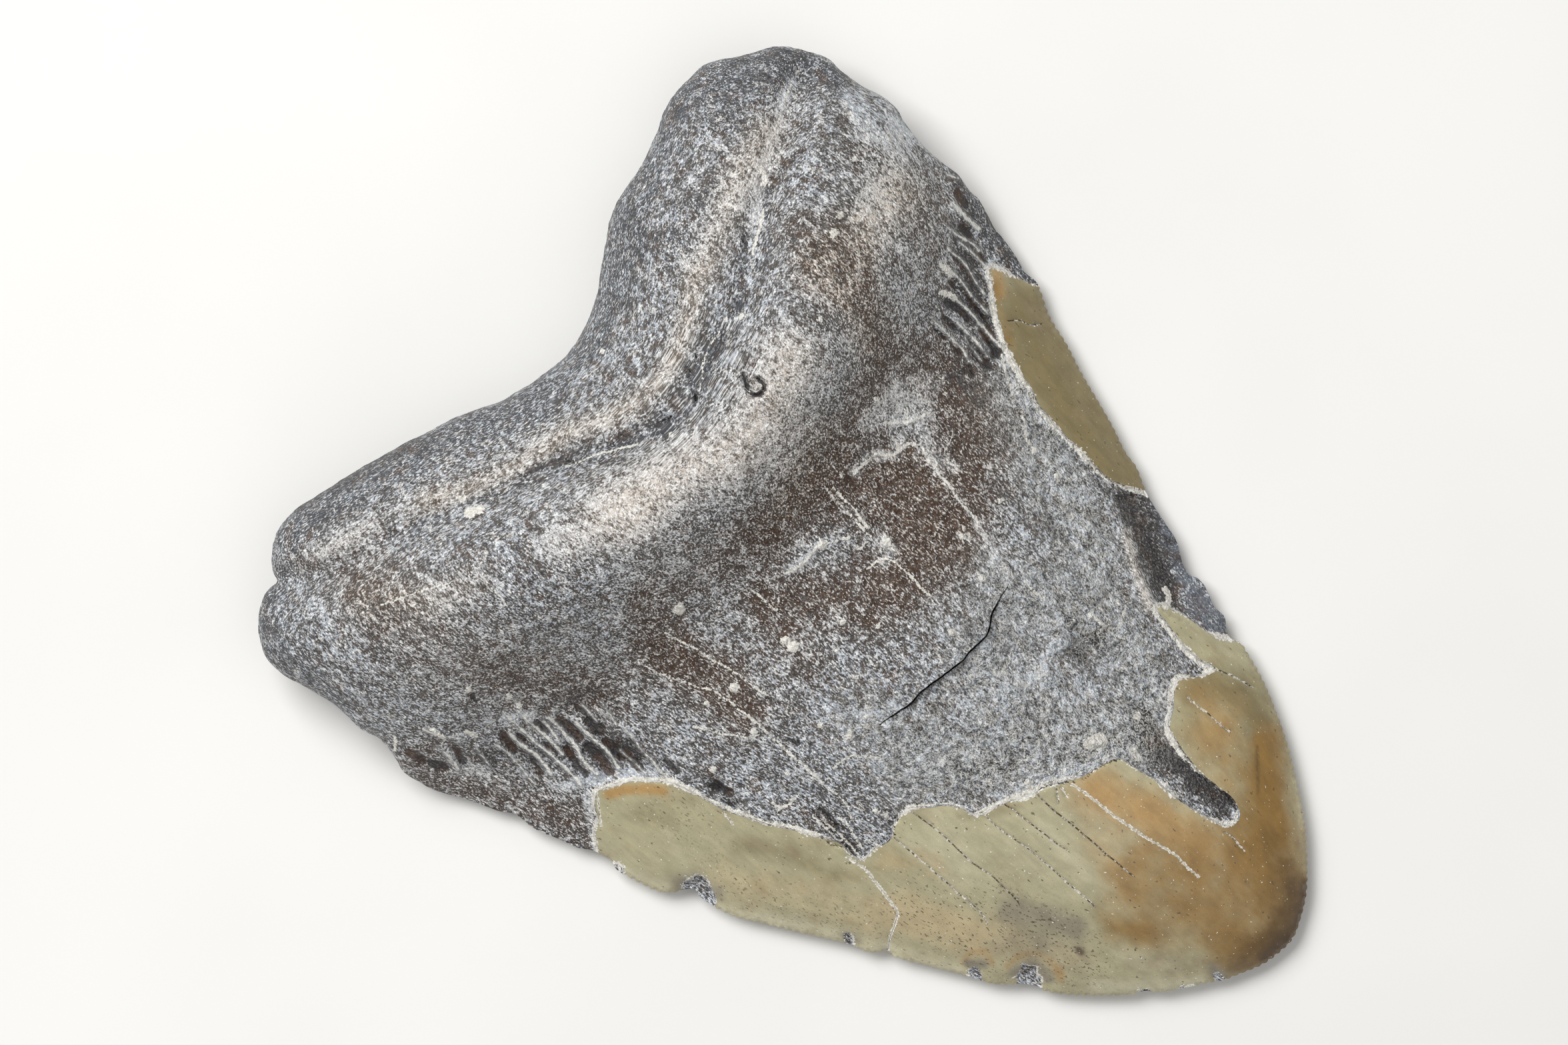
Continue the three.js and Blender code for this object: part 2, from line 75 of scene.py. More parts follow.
# How the photograph lies in the tooth's frame, and its size
PHOTO_SIZE = (2352, 1568)
PHOTO_MIDDLE = (1176, 784)
PHOTO_TURN = math.radians(48.6)

# Outline, clockwise as the photograph shows it
OUTLINE = [
    # left lobe of the root
    (545, 1095), (525, 1077), (500, 1055), (460, 1030), (425, 1010), (400, 985), (390, 950),
    (393, 905), (405, 882), (417, 872), (412, 858), (410, 825), (420, 795), (440, 770), (475, 745),
    # notch between the lobes
    (510, 722), (560, 693), (610, 665), (650, 645), (700, 620), (752, 602), (800, 573), (850, 535),
    (873, 500), (893, 455), (903, 400), (910, 360), (918, 325), (935, 290), (965, 245), (985, 200),
    (998, 165),
    # upper lobe
    (1015, 140), (1035, 120), (1055, 101), (1080, 91), (1105, 86), (1130, 82), (1158, 72),
    (1185, 72), (1215, 80), (1245, 92), (1255, 103), (1300, 135), (1330, 150), (1345, 165),
    (1360, 190), (1385, 218), (1410, 243), (1440, 266),
    # right shoulder and the edge of the upper enamel
    (1455, 285), (1470, 300), (1485, 330), (1500, 352), (1522, 380), (1540, 410), (1556, 425),
    (1575, 475), (1600, 515), (1622, 558), (1650, 605), (1670, 640), (1690, 680), (1705, 700),
    (1720, 738),
    # broken edge
    (1745, 780), (1765, 810), (1772, 835), (1783, 860), (1800, 870), (1815, 890), (1822, 910),
    (1838, 925), (1845, 955), (1862, 965),
    # tip
    (1875, 985), (1895, 1020), (1912, 1060), (1930, 1110), (1943, 1160), (1953, 1205),
    (1960, 1250), (1962, 1300), (1961, 1340), (1952, 1380), (1940, 1410), (1920, 1430),
    (1895, 1448),
    # lower edge
    (1862, 1462), (1840, 1470), (1815, 1475), (1780, 1483), (1735, 1490), (1720, 1487),
    (1700, 1493), (1650, 1495), (1600, 1493), (1570, 1488), (1555, 1480), (1515, 1478),
    (1490, 1477), (1450, 1465), (1400, 1452), (1340, 1435), (1333, 1428), (1305, 1430),
    (1275, 1418), (1200, 1400), (1150, 1388), (1100, 1375), (1070, 1360), (1050, 1345),
    (1040, 1335), (1005, 1340), (985, 1337), (950, 1320), (925, 1305), (918, 1293),
    # left shoulder
    (895, 1280), (860, 1270), (825, 1255), (800, 1243), (770, 1222), (740, 1215), (700, 1200),
    (650, 1185), (620, 1170), (600, 1150), (585, 1125), (570, 1108),
]

# Broken borders of the enamel that is left, and points beyond the outline that close each loop
UPPER_ENAMEL_BORDER = [
    (1562, 428), (1545, 425), (1520, 412), (1500, 406), (1485, 405), (1487, 430), (1495, 470),
    (1503, 500), (1515, 530), (1530, 560), (1545, 582), (1560, 610), (1580, 635), (1600, 655),
    (1625, 680), (1645, 700), (1665, 718), (1690, 730), (1724, 739),
]
BEYOND_UPPER_ENAMEL = [(1760, 720), (1600, 420)]
LOWER_ENAMEL_BORDER = [
    (1868, 964), (1831, 960), (1813, 949), (1770, 921), (1744, 908), (1735, 914), (1755, 940),
    (1775, 965), (1800, 988), (1821, 1002), (1798, 1015), (1770, 1018), (1762, 1030), (1757, 1060),
    (1752, 1090), (1765, 1115), (1780, 1135), (1803, 1161), (1828, 1181), (1852, 1204),
    (1858, 1222), (1849, 1236), (1831, 1238), (1813, 1229), (1782, 1209), (1757, 1191),
    (1729, 1170), (1700, 1150), (1675, 1137), (1650, 1145), (1625, 1160), (1600, 1168),
    (1570, 1175), (1540, 1190), (1510, 1200), (1480, 1215), (1462, 1220), (1440, 1210),
    (1400, 1207), (1370, 1210), (1350, 1220), (1342, 1235), (1335, 1258), (1315, 1270),
    (1292, 1290), (1275, 1280), (1255, 1262), (1210, 1250), (1180, 1240), (1150, 1235),
    (1120, 1225), (1090, 1215), (1060, 1200), (1040, 1188), (1015, 1175), (985, 1172), (950, 1172),
    (920, 1178), (898, 1188), (893, 1200), (897, 1225), (893, 1250), (900, 1286),
]
BEYOND_LOWER_ENAMEL = [(900, 1600), (2100, 1600), (2100, 900)]

# Lines of the relief
CROWN_LINE = [
    (1500, 230), (1440, 266), (1425, 400), (1330, 530), (1230, 650), (1130, 770), (1000, 870),
    (850, 970), (700, 1070), (600, 1150), (540, 1180),
]
BEHIND_ROOT = [(200, 1180), (200, -100), (1500, -100)]
CREST = [
    (1235, 190), (1205, 340), (1160, 470), (1110, 590), (1010, 700), (860, 790), (660, 870),
    (510, 930),
]
FURROW = [
    (1205, 110), (1195, 150), (1170, 230), (1150, 300), (1130, 370), (1118, 450), (1085, 510),
    (1050, 560), (1035, 605), (1000, 645), (940, 672), (855, 690), (800, 715), (720, 755),
    (650, 785), (560, 835), (480, 868), (425, 874),
]
NOTCH_GUIDE = [
    (1100, -60), (1010, 130), (940, 330), (880, 470), (760, 580), (560, 700), (380, 800),
    (220, 890),
]
SCAR_EDGE = [
    (1510, 876), (1494, 902), (1485, 923), (1482, 937), (1476, 952), (1462, 966), (1450, 979),
    (1442, 989), (1426, 1000), (1409, 1014), (1380, 1034), (1362, 1055), (1341, 1068), (1318, 1085),
]
BREAK_RIDGE = [(1722, 739), (1668, 745), (1685, 790), (1705, 850), (1735, 912)]
BEYOND_BREAK = [(1830, 960), (1800, 760)]
SCAR_HOLLOWS = [((1635, 1010), 5.0, 1.5), ((1560, 900), 4.5, 0.6), ((1725, 1040), 3.0, 0.7)]
# Pits and fissures: line, half width and depth
PITS = [
    ([(1117, 566), (1121, 583), (1133, 597), (1145, 592), (1147, 580), (1138, 573)], 0.28, 0.8),
    ([(1078, 512), (1086, 517)], 0.15, 0.5), ([(1048, 529), (1046, 540)], 0.14, 0.5),
    ([(1038, 558), (1036, 568)], 0.13, 0.6), ([(1046, 598), (1047, 607)], 0.14, 0.6),
    ([(1116, 361), (1120, 376)], 0.3, 0.4), ([(852, 693), (864, 695)], 0.2, 0.5),
    ([(1010, 628), (1000, 634)], 0.22, 0.5), ([(915, 672), (925, 671)], 0.18, 0.4),
    ([(1066, 1176), (1080, 1181)], 0.35, 0.6), ([(1082, 1198), (1104, 1209)], 0.2, 0.3),
    ([(1183, 1107), (1197, 1112)], 0.3, 0.2), ([(712, 1041), (717, 1048)], 0.28, 0.4),
    ([(1219, 1214), (1252, 1250), (1283, 1281)], 0.1, 0.3), ([(1229, 1209), (1262, 1244)], 0.12, 0.3),
    ([(1240, 1203), (1256, 1222)], 0.1, 0.3), ([(1232, 1255), (1262, 1270)], 0.1, 0.3),
    ([(1554, 1182), (1577, 1172), (1615, 1168), (1646, 1147), (1683, 1134)], 0.1, 0.2),
    ([(1341, 1250), (1341, 1236), (1348, 1222)], 0.09, 0.2), ([(1573, 904), (1601, 925), (1660, 944)], 0.05, 0.3),
]
# Chips in the enamel's edge, and how far each reaches from its line
CHIPS = [
    ([(1034, 1334), (1050, 1330), (1056, 1350), (1050, 1362)], 1.15, 0.5),
    ([(1540, 1464), (1548, 1480), (1532, 1490)], 1.25, 0.5), ([(1462, 1462), (1466, 1475)], 0.8, 0.35),
    ([(1272, 1406), (1276, 1420)], 0.5, 0.2), ([(924, 1300), (930, 1306)], 0.5, 0.25),
    ([(1828, 1466), (1836, 1480)], 0.55, 0.3), ([(1775, 1486), (1790, 1484)], 0.35, 0.2),
    ([(1712, 1492), (1722, 1490)], 0.35, 0.2),
]
# Ribs beside the root and the troughs between them, each a line and its half width
RIBS = [
    ([(1428, 306), (1442, 320), (1457, 334), (1468, 344)], 0.26), ([(1420, 263), (1437, 268)], 0.12),
    ([(1422, 345), (1440, 358), (1455, 366), (1468, 378)], 0.16),
    ([(1438, 366), (1460, 384), (1479, 401)], 0.14),
    ([(1420, 375), (1440, 392), (1452, 406), (1463, 425), (1475, 441)], 0.12),
    ([(1424, 408), (1440, 424), (1452, 440), (1466, 455), (1480, 471)], 0.13),
    ([(1428, 447), (1445, 461), (1462, 480), (1480, 500), (1500, 521)], 0.17),
    ([(1432, 484), (1450, 500), (1463, 513), (1480, 536)], 0.13),
    ([(1402, 487), (1422, 505), (1441, 526), (1452, 544)], 0.14),
    ([(1446, 508), (1462, 531), (1472, 542)], 0.08), ([(1462, 492), (1472, 512), (1483, 527)], 0.07),
    ([(664, 1124), (680, 1140), (688, 1153)], 0.15), ([(716, 1120), (726, 1134), (735, 1147)], 0.1),
    ([(748, 1117), (765, 1130), (778, 1146), (791, 1162), (803, 1176)], 0.13),
    ([(766, 1098), (776, 1110), (790, 1122), (804, 1129), (816, 1144), (827, 1161)], 0.2),
    ([(764, 1072), (780, 1088), (800, 1108), (818, 1123), (840, 1142), (858, 1160), (871, 1176)], 0.18),
    ([(780, 1064), (796, 1081), (814, 1098), (832, 1116), (846, 1131)], 0.16),
    ([(818, 1080), (832, 1098), (841, 1114)], 0.14),
    ([(826, 1074), (848, 1098), (863, 1116), (875, 1138), (886, 1151), (897, 1160)], 0.22),
    ([(866, 1082), (885, 1100), (905, 1118), (921, 1135), (929, 1150)], 0.2),
    ([(876, 1056), (889, 1070), (897, 1081)], 0.12), ([(905, 1052), (920, 1075), (926, 1086)], 0.1),
    ([(936, 1088), (952, 1106), (965, 1124), (982, 1142), (992, 1158)], 0.12),
    ([(932, 1124), (956, 1146), (970, 1160)], 0.07), ([(640, 1093), (668, 1102), (700, 1108)], 0.12),
]
TROUGHS = [
    ([(1434, 290), (1447, 308)], 0.5), ([(1442, 342), (1452, 354)], 0.45), ([(1464, 380), (1474, 392)], 0.45),
    ([(1426, 384), (1444, 404)], 0.3), ([(1430, 352), (1446, 368), (1456, 378)], 0.22),
    ([(1454, 412), (1468, 436)], 0.4), ([(1424, 426), (1431, 433)], 0.3), ([(1424, 268), (1436, 271)], 0.3),
    ([(1418, 457), (1436, 464), (1452, 480)], 0.5), ([(1417, 480), (1431, 495)], 0.32),
    ([(1472, 494), (1486, 512), (1496, 530)], 0.75), ([(1464, 532), (1480, 550)], 0.6),
    ([(1438, 522), (1450, 548), (1456, 562)], 0.35), ([(1448, 444), (1462, 462), (1476, 480)], 0.25),
    ([(1440, 498), (1456, 520), (1466, 536)], 0.25), ([(1400, 496), (1420, 512), (1438, 532)], 0.2),
    ([(756, 1100), (764, 1112), (772, 1124)], 0.5), ([(780, 1102), (788, 1110)], 0.35),
    ([(808, 1085), (820, 1097)], 0.55), ([(842, 1082), (856, 1092), (868, 1106)], 0.75),
    ([(888, 1080), (900, 1094)], 0.75), ([(868, 1058), (880, 1066)], 0.35), ([(684, 1122), (696, 1142)], 0.45),
    ([(648, 1144), (668, 1150)], 0.5), ([(616, 1128), (632, 1136)], 0.6),
    ([(884, 1118), (905, 1140), (915, 1156)], 0.6), ([(912, 1112), (935, 1132)], 0.6),
    ([(940, 1128), (960, 1150)], 0.6), ([(850, 1122), (866, 1146)], 0.4), ([(865, 1148), (880, 1160)], 0.45),
    ([(800, 1140), (812, 1158)], 0.35), ([(1000, 1140), (1018, 1155)], 0.4), ([(820, 1112), (836, 1128)], 0.25),
    ([(1076, 1172), (1094, 1188)], 0.4),
]
# Cracks of the enamel: line, half width and half width of the white matter in it
ENAMEL_CRACKS = [
    ([(1341, 1254), (1400, 1305), (1438, 1339), (1469, 1366), (1481, 1385)], 0.10, 0.06),
    ([(1366, 1214), (1400, 1239), (1450, 1285), (1496, 1320), (1527, 1353)], 0.11, 0.02),
    ([(1471, 1216), (1504, 1245), (1531, 1264), (1573, 1299), (1640, 1358)], 0.10, 0.06),
    ([(1504, 1203), (1531, 1222), (1573, 1255), (1600, 1274)], 0.10, 0.0),
    ([(1554, 1189), (1573, 1208), (1627, 1253), (1669, 1289), (1698, 1312)], 0.11, 0.01),
    (
        [(1604, 1174), (1631, 1193), (1669, 1222), (1715, 1253), (1765, 1285), (1785, 1305),
         (1796, 1314)], 0.10, 0.16,
    ),
    ([(1581, 1178), (1583, 1190), (1585, 1201)], 0.06, 0.08), ([(1588, 1178), (1598, 1193)], 0.06, 0.08),
    ([(1835, 1247), (1850, 1258), (1865, 1276)], 0.08, 0.07),
    ([(1822, 1003), (1846, 1013), (1880, 1031)], 0.10, 0.05),
    ([(1780, 1046), (1813, 1072), (1843, 1098)], 0.09, 0.06),
    (
        [(1270, 1283), (1294, 1300), (1316, 1325), (1337, 1354), (1346, 1368), (1342, 1386),
         (1335, 1407), (1334, 1425)], 0.10, 0.17,
    ),
    ([(1512, 482), (1530, 481), (1546, 488), (1562, 486)], 0.08, 0.02),
    ([(1085, 1216), (1094, 1227), (1100, 1237)], 0.08, 0.12),
    ([(896, 1188), (898, 1205), (900, 1225), (902, 1240)], 0.06, 0.12),
]
# Pale scratches and strips of white matter on the bare tooth, each a line and its half width
VEINS = [
    ([(1382, 674), (1390, 690), (1400, 704), (1412, 718), (1424, 730)], 0.1),
    ([(1416, 720), (1426, 734), (1434, 748), (1446, 762), (1466, 784)], 0.12),
    ([(1236, 732), (1248, 748), (1264, 762), (1280, 780), (1296, 800), (1312, 808)], 0.08),
    ([(1248, 732), (1266, 750), (1280, 764), (1292, 782), (1302, 792)], 0.1),
    ([(1288, 778), (1300, 792)], 0.24), ([(1248, 700), (1264, 718)], 0.06),
    ([(1280, 710), (1296, 696), (1308, 684), (1336, 684), (1348, 678), (1360, 668), (1378, 668)], 0.17),
    ([(1326, 636), (1344, 636), (1360, 636), (1380, 628), (1394, 620)], 0.13),
    ([(1358, 606), (1358, 632)], 0.09), ([(1338, 658), (1347, 676)], 0.12),
    ([(1426, 658), (1414, 678), (1420, 696)], 0.07), ([(1180, 858), (1204, 844), (1218, 830), (1230, 818)], 0.2),
    ([(1230, 816), (1248, 812), (1272, 806)], 0.12), ([(1282, 819), (1290, 822), (1300, 813)], 0.12),
    ([(1300, 852), (1320, 839), (1334, 840), (1348, 850), (1374, 874), (1400, 905)], 0.11),
    ([(1130, 885), (1140, 895), (1157, 910), (1165, 917)], 0.12),
    ([(1000, 947), (1040, 970), (1080, 994), (1102, 1005), (1115, 1016), (1130, 1028), (1152, 1040)], 0.09),
    ([(960, 992), (1000, 1012), (1047, 1027), (1070, 1035), (1095, 1050), (1120, 1070)], 0.07),
    ([(1120, 1070), (1160, 1105), (1200, 1142), (1235, 1172), (1265, 1200), (1278, 1225)], 0.11),
    ([(1040, 1087), (1070, 1095), (1090, 1100), (1120, 1102), (1140, 1100)], 0.1),
    ([(977, 1137), (990, 1155), (1000, 1163)], 0.1), ([(1250, 1150), (1265, 1137), (1282, 1128)], 0.1),
    ([(1282, 1131), (1320, 1135)], 0.08), ([(732, 861), (768, 907)], 0.08), ([(1630, 921), (1643, 930), (1656, 941)], 0.18),
    ([(1660, 944), (1672, 942), (1681, 932), (1687, 911)], 0.12), ([(1530, 855), (1535, 872), (1550, 887), (1561, 896)], 0.12),
    ([(1535, 645), (1542, 668)], 0.14), ([(1566, 685), (1580, 700)], 0.1), ([(1585, 707), (1586, 722)], 0.14),
    ([(1609, 708), (1620, 722)], 0.12), ([(1590, 748), (1596, 756)], 0.12), ([(1748, 884), (1753, 898), (1747, 910)], 0.36),
    ([(1660, 948), (1672, 954), (1684, 958)], 0.08),
    ([(1532, 614), (1537, 646), (1544, 668)], 0.1), ([(1161, 1203), (1169, 1210), (1180, 1207), (1191, 1196)], 0.22),
    ([(1219, 1222), (1240, 1242), (1262, 1264)], 0.1), ([(1234, 1225), (1262, 1252), (1290, 1285)], 0.11),
    ([(1248, 1212), (1272, 1237), (1292, 1270)], 0.1), ([(1143, 262), (1148, 272), (1146, 282)], 0.28),
    ([(1146, 320), (1142, 340), (1135, 362), (1130, 388)], 0.15), ([(1188, 126), (1172, 170), (1158, 215)], 0.08),
    ([(1092, 480), (1060, 540), (1052, 590)], 0.06), ([(960, 668), (900, 684), (855, 700)], 0.08),
    ([(580, 905), (640, 885), (690, 870)], 0.05), ([(1411, 402), (1424, 414)], 0.36),
    ([(1411, 442), (1430, 449)], 0.4), ([(1502, 532), (1510, 568), (1520, 600)], 0.12),
    ([(652, 1094), (668, 1106)], 0.26), ([(702, 1097), (716, 1103)], 0.26), ([(594, 1104), (593, 1124)], 0.2),
]
CRUMBS = [
    ((1250, 357), 0.55), ((1260, 330), 0.4), ((1114, 479), 0.4), ((700, 750), 0.45), ((712, 769), 0.7),
    ((726, 764), 0.6), ((1021, 913), 0.72), ((1178, 960), 0.55), ((1190, 968), 0.7), ((1632, 1113), 0.8),
    ((1646, 1110), 1.0), ((1698, 1124), 0.55), ((1703, 1136), 0.4), ((450, 1005), 0.25),
    ((1010, 655), 0.3), ((1280, 245), 0.3), ((1230, 485), 0.3), ((1273, 1100), 0.5),
    ((1230, 1085), 0.35), ((1298, 1087), 0.4), ((1102, 1029), 0.6), ((1131, 1095), 0.45),
    ((1061, 1053), 0.35), ((1181, 1157), 0.35), ((1222, 1160), 0.3), ((1482, 1172), 0.35),
    ((1314, 1214), 0.35), ((1328, 1220), 0.3), ((1745, 1176), 0.45), ((1757, 1190), 0.5),
    ((1540, 1172), 0.5), ((1316, 937), 0.35), ((1262, 932), 0.35), ((1425, 948), 0.45),
    ((1470, 867), 0.45), ((1314, 602), 0.35), ((1498, 752), 0.35), ((1328, 812), 0.5),
    ((1192, 854), 0.35), ((1550, 677), 0.5), ((1703, 1073), 0.5), ((1584, 714), 0.45),
    ((1234, 817), 0.55), ((1441, 805), 0.35), ((782, 1056), 0.35),
    ((768, 1042), 0.4), ((708, 1032), 0.4), ((1070, 1152), 0.45), ((906, 530), 0.3),
]

# Shape, in millimetres; slopes are rise over run
CUTTING_EDGE_HEIGHT = 2.2
ROOT_EDGE_HEIGHT = 7.0
CROWN_SLOPE = 0.74
SHOULDER_RISE = 7.4
SHOULDER_WIDTH = 9.0
LOBE_THINNING = 0.32
LOBE_THINNING_FROM = 18.0
LOBE_THINNING_TO = 50.0
CREST_RISE = 3.0
CREST_WIDTH = 11.0
FURROW_DEPTH = 1.7
FURROW_WIDTH = 2.0
FURROW_FLANK_DEPTH = 1.6
FURROW_FLANK_WIDTH = 6.5
ROOT_TO_CROWN_RUN = 15.0
RIM_RUN = 8.0
SCAR_DROP = 0.9
SCAR_WIDTH = 9.0
SCAR_GAP = 0.13
SCAR_FADE = 6.0
SCAR_GAP_DEPTH = 1.3
BREAK_DEPTH = 1.1
BREAK_WIDTH = 2.6
RELIEF_FADE = 2.5
RIB_HEIGHT = 0.55
RIB_WIDTH = 0.3
TROUGH_DEPTH = 0.4
RIB_STRIP_WIDTH = 2.2
CROWN_BELLY_WIDTH = 14.0
ROOT_BELLY_WIDTH = 8.0
LABIAL_HOLLOW = ((1040, 660), 13.0, 1.4)
CRACK_HALF_WIDTH = 0.12
VEIN_RISE = 0.08
# Rougher, flaked stone: brush strokes
HACKLED = [
    ([(1490, 920), (1580, 980), (1500, 1060)], 6.0, 1.0), ([(1540, 640), (1600, 740), (1660, 860)], 4.5, 0.9),
    ([(1640, 1000), (1720, 1040)], 4.0, 0.9), ([(1100, 1150), (1220, 1210)], 3.0, 0.6),
    ([(1260, 740), (1400, 700)], 5.0, 0.4), ([(1740, 780), (1800, 920)], 2.0, 0.6),
]
HACKLE_GAIN = 2.6
CRUST_WIDTH = 0.05
SERRATION_REACH = 1.3
SERRATION_GROOVE = 0.08
NECK_GROOVE = 0.35
LABIAL_CHIP_WIDTH = 2.2
OUTLINE_LEVEL = 4.5
FIBRE_WIDTH = 2.4
FAR = 2.0

# How much each stain, or band of painted highlight or shade, closes up the pale flecks over it
FLECK_SHIFT = {"cream_and_highlight": 0.16, "sand_and_highlight": 0.05, "slate_and_shade": -0.09, "umber": -0.17, "coal": -0.31, "haze": 0.0,
               "dust": 0.27, "flint": -0.2}
BARE_OPENNESS = -0.04
